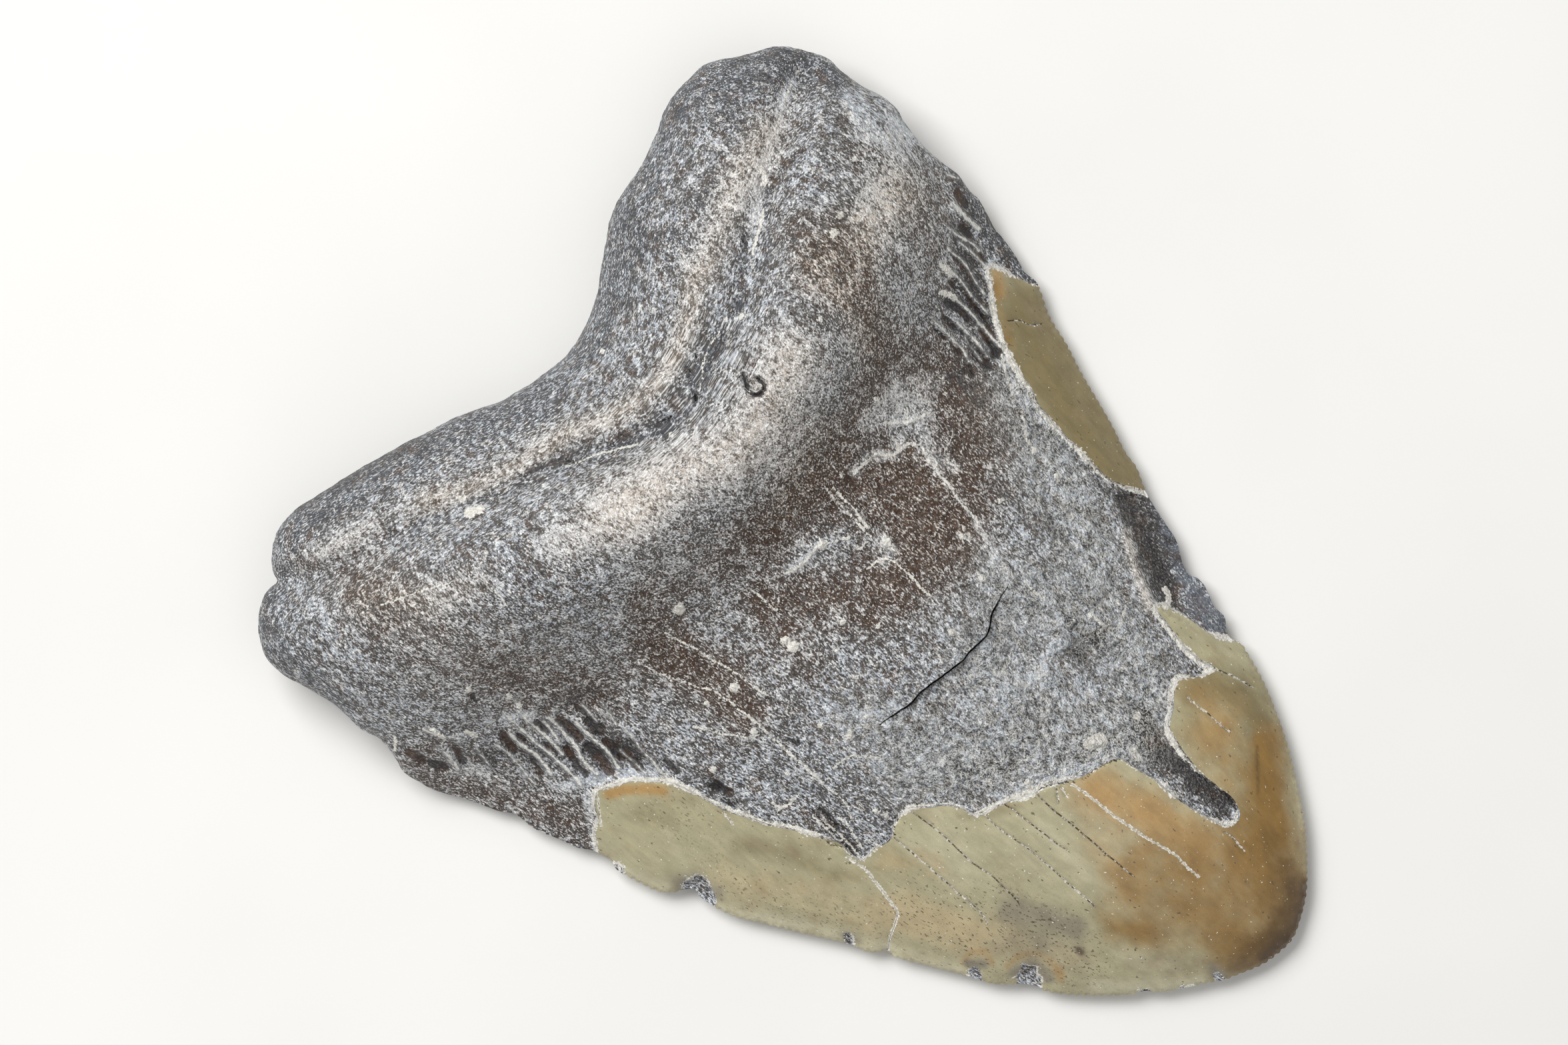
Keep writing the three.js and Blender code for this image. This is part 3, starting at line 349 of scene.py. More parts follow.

# Stains, with bands of painted highlight and shade among them: each brush stroke is its line, how far it reaches to
# each side and how strong it is
BARE_STAINS_AND_PAINTED_LIGHT = {
    # Warm beige of the bulge, and painted highlight along its crest, along the bright bank of the furrow on the upper
    # lobe and along the break's raised edge
    "cream_and_highlight": [
        ([(1200, 110), (1185, 180), (1160, 260), (1135, 350)], 2.0, 0.25),
        ([(1185, 545), (1160, 600), (1110, 670), (1030, 710), (940, 765)], 4.6, 0.85),
        ([(1690, 800), (1702, 850), (1714, 880), (1722, 912)], 0.8, 0.9),
        ([(480, 820), (560, 810)], 2.0, 0.2), ([(960, 770), (840, 815)], 3.4, 0.5),
    ],
    # Warm stone; the first two strokes, along the crest of the outer roll beside the furrow, are painted highlight as
    # well
    "sand_and_highlight": [
        ([(1045, 420), (1035, 480), (1000, 565), (930, 625), (860, 650), (753, 717), (650, 752)], 1.7, 0.8),
        ([(650, 752), (565, 785), (480, 835), (425, 850)], 1.5, 0.35),
        ([(1060, 400), (1100, 300), (1150, 200)], 2.4, 0.7), ([(1240, 420), (1340, 300)], 4.0, 0.7),
        ([(1262, 400), (1300, 520)], 2.5, 0.5), ([(1230, 660), (1190, 740)], 3.0, 0.4),
        ([(1110, 250), (1060, 290)], 3.0, 0.3), ([(720, 870), (640, 900), (560, 900)], 3.0, 0.5),
    ],
    # Blue-grey stone, and painted shade along the outline where the outer roll, the ends of the lobes and the right
    # shoulder fall away
    "slate_and_shade": [
        ([(1010, 150), (975, 250), (935, 340), (915, 440), (880, 520), (800, 595)], 3.0, 1.0),
        ([(800, 595), (700, 640), (600, 695), (500, 745), (440, 800)], 3.0, 1.0),
        ([(1150, 300), (1118, 440), (1080, 520), (1045, 590), (1000, 645)], 1.6, 0.7),
        ([(1000, 645), (900, 685), (800, 715), (700, 765), (600, 815)], 1.3, 0.6),
        ([(1090, 110), (1160, 95), (1250, 120)], 3.0, 0.8),
        ([(1040, 120), (1110, 130), (1170, 110)], 3.0, 0.8),
        ([(420, 870), (405, 930), (420, 980), (500, 1045)], 3.0, 0.7),
        ([(1500, 560), (1560, 650), (1600, 700)], 1.4, 0.6), ([(1440, 240), (1500, 360), (1540, 410)], 2.0, 0.9),
        ([(1100, 190), (1060, 300), (980, 400)], 2.6, 0.5),
    ],
    "haze": [
        ([(1530, 590), (1600, 740), (1640, 860)], 4.0, 0.8), ([(1480, 1000), (1560, 1090), (1640, 1130)], 6.0, 0.8),
        ([(1360, 1160), (1500, 1150), (1690, 1100)], 3.0, 0.9), ([(1560, 900), (1680, 960), (1720, 1040)], 4.0, 0.8),
        ([(1300, 1080), (1400, 1120)], 4.0, 0.6), ([(1480, 860), (1500, 920)], 3.0, 0.5),
    ],
    "flint": [
        ([(1760, 800), (1790, 870), (1830, 940)], 2.2, 1.0), ([(1730, 760), (1752, 800)], 1.0, 0.5),
    ],
    "umber": [
        ([(1262, 360), (1290, 450), (1325, 530), (1300, 610), (1250, 680), (1160, 800)], 3.4, 0.6),
        ([(1150, 790), (1060, 850), (970, 900), (990, 960)], 3.4, 0.5),
        ([(1411, 570), (1455, 640), (1440, 720), (1400, 800), (1345, 870)], 5.5, 0.8),
        ([(1320, 880), (1295, 930)], 2.5, 0.4),
        ([(1240, 740), (1330, 720)], 4.0, 0.7), ([(1350, 730), (1410, 800)], 4.6, 1.0),
        ([(1010, 980), (1080, 1020), (1110, 1060)], 4.0, 0.75),
        ([(1150, 900), (1240, 895)], 4.0, 0.7), ([(1180, 950), (1210, 1000)], 2.5, 0.5),
        ([(1290, 230), (1370, 300), (1400, 400)], 4.0, 0.35),
        ([(560, 880), (640, 960), (760, 1010), (900, 1040)], 5.0, 0.5),
        ([(640, 1150), (760, 1200), (880, 1240)], 4.0, 0.5),
        ([(1716, 1085), (1762, 1145), (1830, 1200)], 1.2, 0.6),
        ([(1200, 350), (1215, 410)], 2.5, 0.45),
    ],
    "coal": [
        ([(1712, 1075), (1725, 1110), (1762, 1145), (1812, 1185), (1836, 1205)], 1.6, 1.0),
        ([(1690, 750), (1712, 790), (1735, 850), (1755, 890)], 1.6, 1.0),
        ([(1735, 770), (1765, 840)], 1.2, 0.4), ([(1130, 110), (1180, 112)], 2.5, 0.3),
        ([(950, 300), (960, 370)], 2.0, 0.3),
        ([(1446, 350), (1456, 440), (1484, 530)], 1.8, 0.7), ([(1436, 280), (1452, 320)], 1.0, 0.6),
        ([(950, 1125), (925, 1115)], 1.6, 0.9),
        ([(920, 1130), (860, 1125), (790, 1130), (720, 1140)], 1.6, 0.5),
        # Painted shade on the upper wall of the largest hollow of the scar: the stroke from (1615, 985) and the one
        # from (1610, 950) on the next line
        ([(1615, 985), (1645, 978)], 1.6, 0.6), ([(1562, 782), (1588, 800)], 1.2, 0.6),
        ([(1605, 762), (1640, 772)], 1.0, 0.6), ([(1610, 950), (1650, 955)], 1.0, 0.5),
        ([(1075, 1180), (1100, 1195)], 1.0, 0.6),
        ([(1230, 1215), (1280, 1270)], 0.9, 0.7),
        ([(1470, 1170), (1510, 1150)], 1.6, 0.4),
        ([(880, 1040), (840, 1050)], 1.6, 0.5), ([(1430, 560), (1470, 600)], 1.6, 0.5),
        ([(1130, 360), (1112, 440), (1082, 512), (1052, 580), (1012, 632), (940, 655)], 0.8, 0.35),
        ([(940, 655), (860, 685), (790, 715)], 0.6, 0.5), ([(1500, 350), (1520, 390)], 1.6, 0.5),
        ([(1000, 110), (1040, 90)], 1.6, 0.5),
        ([(450, 760), (560, 700), (640, 660)], 1.2, 0.5), ([(1178, 250), (1150, 300)], 0.6, 0.6),
    ],
    "dust": [
        # Painted highlight: the first stroke below lies on the lit rim of the largest hollow of the scar
        ([(1591, 961), (1569, 979), (1559, 1011), (1537, 1029), (1484, 1039)], 0.8, 0.6),
        ([(1282, 707), (1305, 686), (1341, 682), (1351, 662)], 0.9, 0.7), ([(1385, 682), (1466, 786)], 0.6, 0.5),
        ([(1337, 636), (1359, 632), (1394, 621)], 0.9, 0.7), ([(1340, 560), (1348, 610), (1396, 600)], 0.9, 0.5),
        ([(1180, 857), (1207, 839), (1226, 821), (1248, 814)], 0.8, 0.7),
        ([(1320, 812), (1336, 824), (1323, 843)], 0.9, 0.9), ([(1436, 803), (1448, 806)], 0.6, 0.9),
        ([(1300, 640), (1330, 600), (1400, 570)], 1.6, 0.6), ([(1375, 640), (1400, 690), (1430, 700)], 1.2, 0.7),
        ([(1520, 660), (1560, 720), (1620, 760), (1640, 790)], 2.2, 0.25), ([(1470, 800), (1500, 860)], 1.6, 0.5),
        ([(1535, 1178), (1600, 1158), (1677, 1132)], 0.7, 0.7), ([(1486, 400), (1492, 450), (1500, 500)], 0.7, 0.8),
        ([(1505, 540), (1530, 590), (1560, 630)], 1.0, 0.8), ([(840, 1182), (900, 1165), (990, 1160)], 0.6, 0.8),
        ([(882, 1190), (886, 1240), (892, 1270)], 0.6, 0.8), ([(1270, 160), (1300, 200)], 1.5, 0.5),
        ([(760, 1078), (800, 1072)], 0.9, 0.6), ([(1130, 290), (1080, 330), (1040, 400)], 1.6, 0.5),
        ([(1700, 1160), (1740, 1190), (1790, 1222)], 0.7, 0.75),
        ([(1844, 1212), (1850, 1222)], 0.7, 0.7), ([(960, 1160), (905, 1168), (870, 1172)], 0.9, 0.8),
        ([(1188, 126), (1165, 190), (1150, 240), (1135, 330), (1124, 430)], 0.9, 0.6),
        ([(1300, 1072), (1240, 1060)], 1.0, 0.4), ([(1790, 850), (1805, 900), (1835, 940)], 1.0, 0.5),
        ([(1640, 860), (1600, 800), (1620, 730)], 2.0, 0.35), ([(1580, 980), (1500, 1060)], 2.5, 0.3),
        ([(700, 765), (660, 790), (590, 820)], 0.9, 0.4), ([(520, 960), (480, 900)], 2.0, 0.3),
        ([(560, 790), (480, 830)], 1.5, 0.5),
        ([(1360, 200), (1330, 260), (1300, 330)], 3.0, 0.55),
        ([(620, 940), (680, 980)], 3.0, 0.4), ([(865, 572), (905, 548), (950, 515), (985, 470)], 0.8, 0.35),
        ([(1050, 860), (1010, 840)], 1.6, 0.4), ([(680, 1140), (720, 1160)], 1.6, 0.6),
        ([(1290, 150), (1340, 210)], 2.0, 0.4), ([(1440, 1090), (1500, 1050)], 4.0, 0.15),
        ([(1640, 1010), (1600, 1050)], 3.0, 0.4),
    ],
}
ENAMEL_STAINS = {
    "olive": [
        ([(1540, 470), (1580, 560), (1620, 620), (1670, 690), (1700, 725)], 6.0, 1.0),
        ([(950, 1215), (1000, 1225)], 2.0, 0.4), ([(1110, 1268), (1180, 1282), (1250, 1310)], 1.6, 0.5),
        ([(1800, 1030), (1860, 1040), (1890, 1080)], 3.0, 0.9), ([(1790, 1080), (1850, 1150)], 2.6, 0.5),
        ([(1660, 1155), (1720, 1195), (1780, 1240), (1830, 1262)], 0.8, 0.5),
        ([(1440, 1222), (1500, 1215), (1560, 1195)], 0.8, 0.4), ([(1640, 1360), (1655, 1390)], 1.2, 0.4),
    ],
    "buff": [
        ([(1080, 1366), (1200, 1392), (1330, 1424)], 1.1, 1.0), ([(1340, 1430), (1440, 1458)], 1.1, 0.9),
        ([(1410, 1260), (1480, 1330)], 1.5, 0.5), ([(1490, 1250), (1590, 1340)], 1.6, 0.3),
        ([(1560, 1240), (1630, 1310)], 1.2, 0.6), ([(1400, 1225), (1460, 1270)], 1.6, 0.4),
        ([(1370, 1250), (1420, 1310)], 2.0, 0.5),
        ([(1925, 1050), (1946, 1130), (1955, 1210), (1960, 1270)], 0.8, 1.0),
        ([(1640, 1480), (1740, 1482), (1800, 1472)], 1.0, 0.9), ([(940, 1310), (1000, 1330)], 1.0, 0.7),
        ([(1000, 1250), (1030, 1310)], 0.8, 0.4), ([(1680, 1430), (1760, 1450)], 1.4, 0.5),
    ],
    "peach": [
        ([(1080, 1320), (1200, 1340), (1300, 1380)], 3.0, 0.5),
        ([(1340, 1370), (1400, 1380), (1460, 1410)], 3.0, 0.9), ([(1490, 1400), (1600, 1440)], 2.4, 0.6),
        ([(1720, 1290), (1830, 1280)], 3.0, 0.5),
    ],
    "ochre": [
        ([(1640, 1180), (1720, 1220), (1800, 1270)], 3.2, 0.85), ([(1660, 1280), (1700, 1350)], 3.0, 0.5),
        ([(1810, 1100), (1850, 1180)], 3.0, 0.5), ([(1800, 1040), (1830, 1080)], 2.6, 0.5), ([(915, 1190), (950, 1182), (995, 1184)], 0.8, 1.0),
        ([(1446, 1444), (1450, 1430), (1468, 1425), (1488, 1434), (1488, 1446)], 0.5, 0.6),
        ([(1512, 1450), (1528, 1434), (1552, 1428), (1575, 1440), (1590, 1460)], 0.6, 0.6),
        ([(1588, 1456), (1592, 1470)], 0.7, 0.6), ([(1495, 410), (1500, 440)], 1.0, 0.8),
        ([(1400, 1300), (1330, 1290)], 2.0, 0.3),
    ],
    "amber": [
        ([(1745, 1330), (1800, 1360), (1880, 1390)], 6.5, 0.75), ([(1880, 1290), (1930, 1340)], 4.5, 0.8),
        ([(1675, 1388), (1712, 1400)], 2.0, 0.6), ([(1900, 1115), (1903, 1180), (1912, 1250)], 2.6, 1.0),
        ([(1870, 1200), (1885, 1290)], 4.0, 0.6), ([(1850, 1425), (1890, 1428)], 2.2, 0.9),
        ([(1492, 430), (1500, 470), (1512, 510)], 0.9, 0.5), ([(1720, 1290), (1800, 1300)], 3.0, 0.4),
    ],
    "bark": [
        ([(1962, 1330), (1954, 1375), (1930, 1412), (1900, 1438)], 0.9, 1.0),
        ([(1940, 1340), (1920, 1390), (1870, 1436)], 2.6, 0.6), ([(1617, 1424), (1621, 1428)], 0.45, 1.0),
        ([(1885, 1120), (1886, 1190)], 0.25, 0.5), ([(1905, 1260), (1925, 1320)], 2.0, 0.35),
    ],
    "ash": [
        ([(1510, 1362), (1560, 1372), (1612, 1392)], 2.0, 0.75), ([(1490, 1420), (1560, 1410)], 1.8, 0.4),
        ([(1620, 1450), (1560, 1430)], 2.2, 0.4), ([(1452, 1446), (1476, 1448)], 0.55, 1.0),
        ([(1522, 1460), (1545, 1450), (1568, 1458), (1572, 1470)], 0.8, 1.0), ([(1265, 1405), (1285, 1412)], 0.8, 0.7),
        ([(1020, 1325), (1075, 1340)], 1.3, 0.8), ([(1130, 1270), (1180, 1290)], 2.0, 0.25),
        ([(1820, 1455), (1836, 1470)], 0.8, 0.8), ([(1700, 1440), (1800, 1440)], 1.2, 0.3),
    ],
}
SPECKLED = [
    ([(1370, 1360), (1440, 1390), (1480, 1430)], 3.6, 1.0), ([(1500, 1370), (1560, 1400), (1620, 1440)], 3.4, 1.0),
    ([(1080, 1330), (1300, 1390)], 2.5, 0.5), ([(1000, 1200), (1060, 1260)], 3.0, 0.4),
]
CRUST = [
    ([(1485, 405), (1500, 500), (1545, 582), (1625, 680), (1724, 739)], 1.5, 0.55),
    ([(1734, 916), (1800, 987), (1821, 1002)], 1.2, 0.75),
    ([(1765, 1020), (1757, 1060), (1755, 1100), (1775, 1130)], 1.2, 0.85),
    ([(893, 1190), (915, 1178), (985, 1172), (1045, 1192)], 1.2, 0.42),
    ([(1080, 1208), (1145, 1236), (1220, 1253), (1250, 1268)], 1.2, 0.5),
    ([(1365, 1210), (1425, 1207)], 1.0, 0.5),
    ([(1480, 1215), (1540, 1190), (1600, 1168)], 1.2, 0.6),
    ([(893, 1190), (897, 1225), (893, 1255), (900, 1284)], 1.2, 0.35),
    ([(1831, 960), (1861, 964)], 1.2, 0.6),
    ([(1831, 1238), (1857, 1225)], 1.2, 0.5),
    ([(1740, 1180), (1757, 1191)], 1.2, 0.5),
]
RIDGES = [
    ([(1591, 961), (1569, 979), (1559, 1011), (1537, 1029), (1484, 1039)], 1.0, 0.4),
    ([(1690, 800), (1705, 850), (1712, 880), (1725, 905)], 0.9, 0.4),
    ([(1568, 895), (1596, 915), (1655, 935), (1690, 905)], 0.8, 0.4),
    ([(1232, 730), (1262, 750), (1300, 790)], 0.5, 0.2), ([(1380, 660), (1420, 720), (1452, 760)], 0.5, 0.2),
    ([(1045, 430), (1035, 480), (1000, 565), (930, 625), (860, 650)], 1.6, 0.35),
    ([(1160, 870), (1215, 825), (1300, 800)], 1.0, 0.2),
    ([(1160, 1225), (1090, 1180), (1000, 1140)], 2.0, 0.25),
]
ARCH_GRAIN = [
    ([(1205, 110), (1150, 300), (1118, 450), (1050, 560)], 6.0, 1.0),
    ([(1050, 560), (1000, 645), (855, 690), (720, 755), (560, 835), (425, 874)], 6.0, 1.0),
    ([(985, 220), (920, 360), (890, 480), (780, 600)], 6.0, 1.0),
    ([(780, 600), (640, 665), (500, 745), (420, 830)], 6.0, 1.0),
]

# The hidden labial face: the neck between root and enamel, cracks and stains
LABIAL_NECK = [
    (1500, 230), (1452, 290), (1370, 440), (1270, 590), (1150, 700), (1040, 790), (900, 880),
    (760, 980), (650, 1080), (600, 1150), (540, 1180),
]
LABIAL_CRACKS = [
    ([(1250, 700), (1330, 790), (1420, 900), (1500, 1010)], 0.08, 0.05),
    ([(1080, 850), (1160, 950), (1230, 1050), (1330, 1150)], 0.08, 0.08),
    ([(1500, 640), (1560, 720), (1640, 840)], 0.08, 0.03),
    ([(900, 1000), (980, 1080), (1100, 1200)], 0.08, 0.05),
]
LABIAL_STAINS = {
    "olive": [([(1480, 480), (1600, 700), (1720, 900)], 6.0, 0.8), ([(1300, 700), (1350, 800)], 8.0, 0.4)],
    "buff": [([(1000, 1050), (1200, 1250), (1400, 1380)], 8.0, 0.7)],
    "peach": [([(1300, 1000), (1450, 1200)], 6.0, 0.5)],
    "amber": [([(1700, 1200), (1850, 1350), (1920, 1400)], 9.0, 0.9)],
    "bark": [([(1958, 1320), (1930, 1410), (1860, 1450)], 2.5, 1.0)],
    "cream_and_highlight": [([(1180, 300), (1000, 650), (600, 850)], 8.0, 0.5)],
    "slate_and_shade": [([(1100, 100), (900, 450), (450, 850)], 6.0, 0.7)],
    "umber": [([(1400, 320), (1150, 640), (800, 880), (600, 1080)], 5.0, 0.7)],
}

# Fineness of the mesh, in millimetres
OUTLINE_SPACING = 0.3
LINE_SPACING = 0.32
OUTLINE_CLEARANCE = 0.26
LINE_CLEARANCE = 0.13
UNEVENNESS = 0.16


def turn(pixels):
    """Turns pixels of the photograph into the tooth's own directions, still one unit a pixel."""
    pixels = np.asarray(pixels, float)
    right = pixels[:, 0] - PHOTO_MIDDLE[0]
    up = PHOTO_MIDDLE[1] - pixels[:, 1]
    cosine, sine = math.cos(PHOTO_TURN), math.sin(PHOTO_TURN)
    return np.stack([right * cosine + up * sine, up * cosine - right * sine], axis=1)


def smooth_line(knots, spacing, closed=False):
    """Evenly spaced points on a smooth curve through the knots."""
    knots = np.asarray(knots, float)
    if closed:
        padded = np.vstack([knots[-1], knots, knots[0], knots[1]])
    else:
        padded = np.vstack([2 * knots[0] - knots[1], knots, 2 * knots[-1] - knots[-2]])
    pieces = []
    for before, start, end, after in zip(padded, padded[1:], padded[2:], padded[3:]):
        share = np.linspace(0, 1, 24, endpoint=False)[:, None]
        times = np.cumsum([0] + [math.sqrt(math.dist(a, b)) for a, b in
                                 ((before, start), (start, end), (end, after))])
        time = times[1] + share * (times[2] - times[1])

        def between(low, high, first, last):
            return ((times[high] - time) * first + (time - times[low]) * last) / (times[high] - times[low])

        left, middle, right = (between(0, 1, before, start), between(1, 2, start, end),
                               between(2, 3, end, after))
        pieces.append(between(1, 2, between(0, 2, left, middle), between(1, 3, middle, right)))
    fine = np.vstack(pieces + [knots[:1] if closed else knots[-1:]])
    walked = np.concatenate([[0], np.cumsum(np.hypot(*np.diff(fine, axis=0).T))])
    count = max(1, round(walked[-1] / spacing))
    stations = np.linspace(0, walked[-1], count + 1)
    stations = stations[:-1] if closed else stations
    return np.stack([np.interp(stations, walked, fine[:, k]) for k in (0, 1)], axis=1)


# The photograph's scale follows from the frame: the outline is as long as the solid
TURNED_OUTLINE = smooth_line(turn(OUTLINE), 4, closed=True)
OUTLINE_LOW, OUTLINE_HIGH = TURNED_OUTLINE.min(axis=0), TURNED_OUTLINE.max(axis=0)
LOW, HIGH = (np.array(corner) / MM for corner in CAD_BOX)
MM_PER_PIXEL = (HIGH[1] - LOW[1]) / (OUTLINE_HIGH[1] - OUTLINE_LOW[1])
CENTRE = (OUTLINE_LOW + OUTLINE_HIGH) / 2


def place(pixels):
    """Pixels of the photograph as millimetres in the tooth's plan."""
    return (turn(pixels) - CENTRE) * MM_PER_PIXEL


def place_one(pixel):
    return place([pixel])[0]


def trace(points, line):
    """Each point's distance to a line, how far along the line its foot is, and its side."""
    nearest = np.full(len(points), np.inf)
    run = np.zeros(len(points))
    side = np.zeros(len(points))
    walked = 0.0
    for start, end in zip(line[:-1], line[1:]):
        step = end - start
        length = math.hypot(*step)
        offset = points - start
        share = np.clip(offset @ step / length**2, 0, 1)
        distance = np.hypot(*(offset - share[:, None] * step).T)
        near = distance < nearest
        nearest[near] = distance[near]
        run[near] = walked + share[near] * length
        side[near] = (step[0] * offset[:, 1] - step[1] * offset[:, 0])[near]
        walked += length
    return nearest, run, side


def distance_to(points, line):
    line = np.asarray(line)
    if len(line) == 1:
        return np.hypot(*(points - line[0]).T)
    return trace(points, line)[0]


def is_inside(points, loop):
    inside = np.zeros(len(points), bool)
    for (ax, ay), (bx, by) in zip(loop, np.roll(loop, 1, axis=0)):
        if ay == by:
            continue
        crosses = (ay > points[:, 1]) != (by > points[:, 1])
        inside ^= crosses & (points[:, 0] < (bx - ax) * (points[:, 1] - ay) / (by - ay) + ax)
    return inside


def signed_distance(points, line, loop):
    distance = distance_to(points, line)
    return np.where(is_inside(points, loop), distance, -distance)


def bump(distance, width):
    return np.exp(-((distance / width) ** 2))


def smooth_step(value, low, high):
    share = np.clip((value - low) / (high - low), 0, 1)
    return share * share * (3 - 2 * share)


def lattice_noise(points, size, seed):
    """Smooth noise from -1 to 1 with patches of the given size."""
    cell = points / size
    corner = np.floor(cell).astype(np.int64)
    share = cell - corner
    share = share * share * (3 - 2 * share)
    total = np.zeros(len(points))
    for right in (0, 1):
        for up in (0, 1):
            mixed = (corner[:, 0] + right) * 374761393 + (corner[:, 1] + up) * 668265263 + seed * 97
            mixed = (mixed ^ (mixed >> 13)) * 1274126177
            mixed = (mixed ^ (mixed >> 16)) & 0xFFFF
            weight = np.abs(1 - right - share[:, 0]) * np.abs(1 - up - share[:, 1])
            total += weight * (mixed / 32767.5 - 1)
    return total


def roughen(line, size, reach, seed):
    """Shifts a line's inner points sideways by noise, so that a drawn line looks broken by hand."""
    along = np.gradient(line, axis=0)
    across = np.stack([-along[:, 1], along[:, 0]], axis=1) / np.hypot(*along.T)[:, None]
    shift = size * lattice_noise(line, reach, seed) + size / 2 * lattice_noise(line, reach / 3, seed + 1)
    shift[[0, -1]] = 0
    return line + shift[:, None] * across


def drawn_line(pixels, spacing=LINE_SPACING, roughness=0.0, seed=1):
    line = smooth_line(place(pixels), spacing)
    return roughen(line, roughness, 1.6, seed) if roughness else line


ENAMELS = []
for border, beyond in ((UPPER_ENAMEL_BORDER, BEYOND_UPPER_ENAMEL),
                       (LOWER_ENAMEL_BORDER, BEYOND_LOWER_ENAMEL)):
    border_line = drawn_line(border, 0.36, 0.13, 5)
    ENAMELS.append((border_line, np.vstack([border_line, place(beyond)])))
COARSE_OUTLINE = smooth_line(place(OUTLINE), 0.8, closed=True)
CLOSED_OUTLINE = np.vstack([COARSE_OUTLINE, COARSE_OUTLINE[:1]])
CROWN = place(CROWN_LINE)
ROOT_LOOP = np.vstack([CROWN, place(BEHIND_ROOT)])
BREAK = place(BREAK_RIDGE)
BREAK_LOOP = np.vstack([BREAK, place(BEYOND_BREAK)])
SCAR = drawn_line(SCAR_EDGE, 0.3, 0.08, 9)
NECK = drawn_line(LABIAL_NECK, 0.5, 0.2, 12)
NECK_LOOP = np.vstack([NECK, place(BEHIND_ROOT)])
CRACKS = [(drawn_line(line, 0.3, 0.07, 20), half, chalk) for line, half, chalk in ENAMEL_CRACKS]
RIB_LINES = [(drawn_line(line, 0.3, 0.07, 30), half) for line, half in RIBS]
VEIN_LINES = [(drawn_line(line, 0.3, 0.12, 40), half) for line, half in VEINS]
TROUGH_LINES = [(drawn_line(line), half) for line, half in TROUGHS]
PIT_LINES = [(drawn_line(line), half) for line, half, _ in PITS]


def distance_near(points, line, reach):
    """Distance to a line, and the reach itself wherever the line is farther than that."""
    distance = np.full(len(points), float(reach))
    close = ((points > line.min(axis=0) - reach) & (points < line.max(axis=0) + reach)).all(axis=1)
    distance[close] = np.minimum(reach, distance_to(points[close], line))
    return distance


def outside(points, strokes):
    """Distance from the edge of the nearest stroke: negative within a stroke."""
    return np.minimum.reduce([distance_near(points, line, FAR) - half for line, half in strokes])


def depth_in_enamel(points):
    """How far inside the nearer piece of enamel a point lies: negative on the bare tooth and in chips."""
    depth = np.maximum(*(signed_distance(points, line, loop) for line, loop in ENAMELS))
    for line, width, _ in CHIPS:
        ragged = width * (1 + 0.35 * lattice_noise(points, 0.7, 15))
        depth = np.minimum(depth, distance_near(points, drawn_line(line), 8.0) - ragged)
    return depth


def edge_distance(points):
    """Smooth distance from the outline: the true one near it, with no crease along the middle."""
    total = np.zeros(len(points))
    for start, end in zip(COARSE_OUTLINE, np.roll(COARSE_OUTLINE, -1, axis=0)):
        a, b = start - points, end - points
        cross = a[:, 0] * b[:, 1] - a[:, 1] * b[:, 0]
        height = cross / math.dist(start, end)
        flat = np.abs(height) < 1e-6
        angle = np.arctan2(cross, (a * b).sum(axis=1))
        total += np.where(flat, 0.0, angle / np.where(flat, 1.0, height))
    return np.pi / np.maximum(np.abs(total), 1e-9)


def quarter_round(distance, width):
    return np.sqrt(1 - (1 - np.clip(distance / width, 0, 1)) ** 2)


def root_share(points, run):
    """1 on the root, 0 on the crown, changing over the run to each side of the crown line."""
    return smooth_step(signed_distance(points, CROWN, ROOT_LOOP), -run, run)


def rim_height(points):
    return CUTTING_EDGE_HEIGHT + (ROOT_EDGE_HEIGHT - CUTTING_EDGE_HEIGHT) * root_share(points, RIM_RUN)


def cover_of(points, strokes):
    """How much the strokes of a stain, a painted band or another field cover each point, from 0 to 1."""
    bare = np.ones(len(points))
    for line, width, strength in strokes:
        bare *= 1 - strength * bump(distance_near(points, drawn_line(line, 2.0), 3 * width), width)
    return 1 - bare


# Heights of the upper side
def main_form(points, edge):
    root = root_share(points, ROOT_TO_CROWN_RUN)
    sideways = smooth_step(np.abs(points[:, 0]), LOBE_THINNING_FROM, LOBE_THINNING_TO)
    thinning = 1 - LOBE_THINNING * sideways
    shoulder = root * thinning * SHOULDER_RISE * quarter_round(edge, SHOULDER_WIDTH)
    slope = CROWN_SLOPE * edge * (1 + (thinning - 1) * root)
    return rim_height(points) + slope + shoulder, thinning


def furrow_drop(points):
    distance = distance_to(points, drawn_line(FURROW, 2.0))
    flank = FURROW_FLANK_DEPTH * bump(distance, FURROW_FLANK_WIDTH)
    return flank + FURROW_DEPTH * bump(distance, FURROW_WIDTH)


def scar_drop(points):
    """The step below the long crack, which fades out towards the enamel, and the crack itself."""
    distance, run, side = trace(points, SCAR)
    length = np.hypot(*np.diff(SCAR, axis=0).T).sum()
    fade = smooth_step(run, 0, SCAR_FADE) * smooth_step(length - run, 0, SCAR_FADE)
    step = np.where(side > 0, SCAR_DROP * bump(distance, SCAR_WIDTH), 0)
    return fade * (step + SCAR_GAP_DEPTH * np.clip(1 - distance / SCAR_GAP, 0, 1))


def break_drop(points):
    distance = distance_to(points, BREAK)
    return is_inside(points, BREAK_LOOP) * BREAK_DEPTH * bump(distance - BREAK_WIDTH, BREAK_WIDTH)


def hollow_drop(points):
    drop = np.zeros(len(points))
    for pixel, radius, depth in SCAR_HOLLOWS:
        drop += depth * bump(np.hypot(*(points - place_one(pixel)).T), radius)
    for line, width, depth in CHIPS:
        drop += depth * bump(distance_near(points, drawn_line(line), 3 * width), width)
    for line, width, depth in PITS:
        drop += depth * bump(distance_near(points, drawn_line(line), 4 * width), 1.2 * width)
    return drop


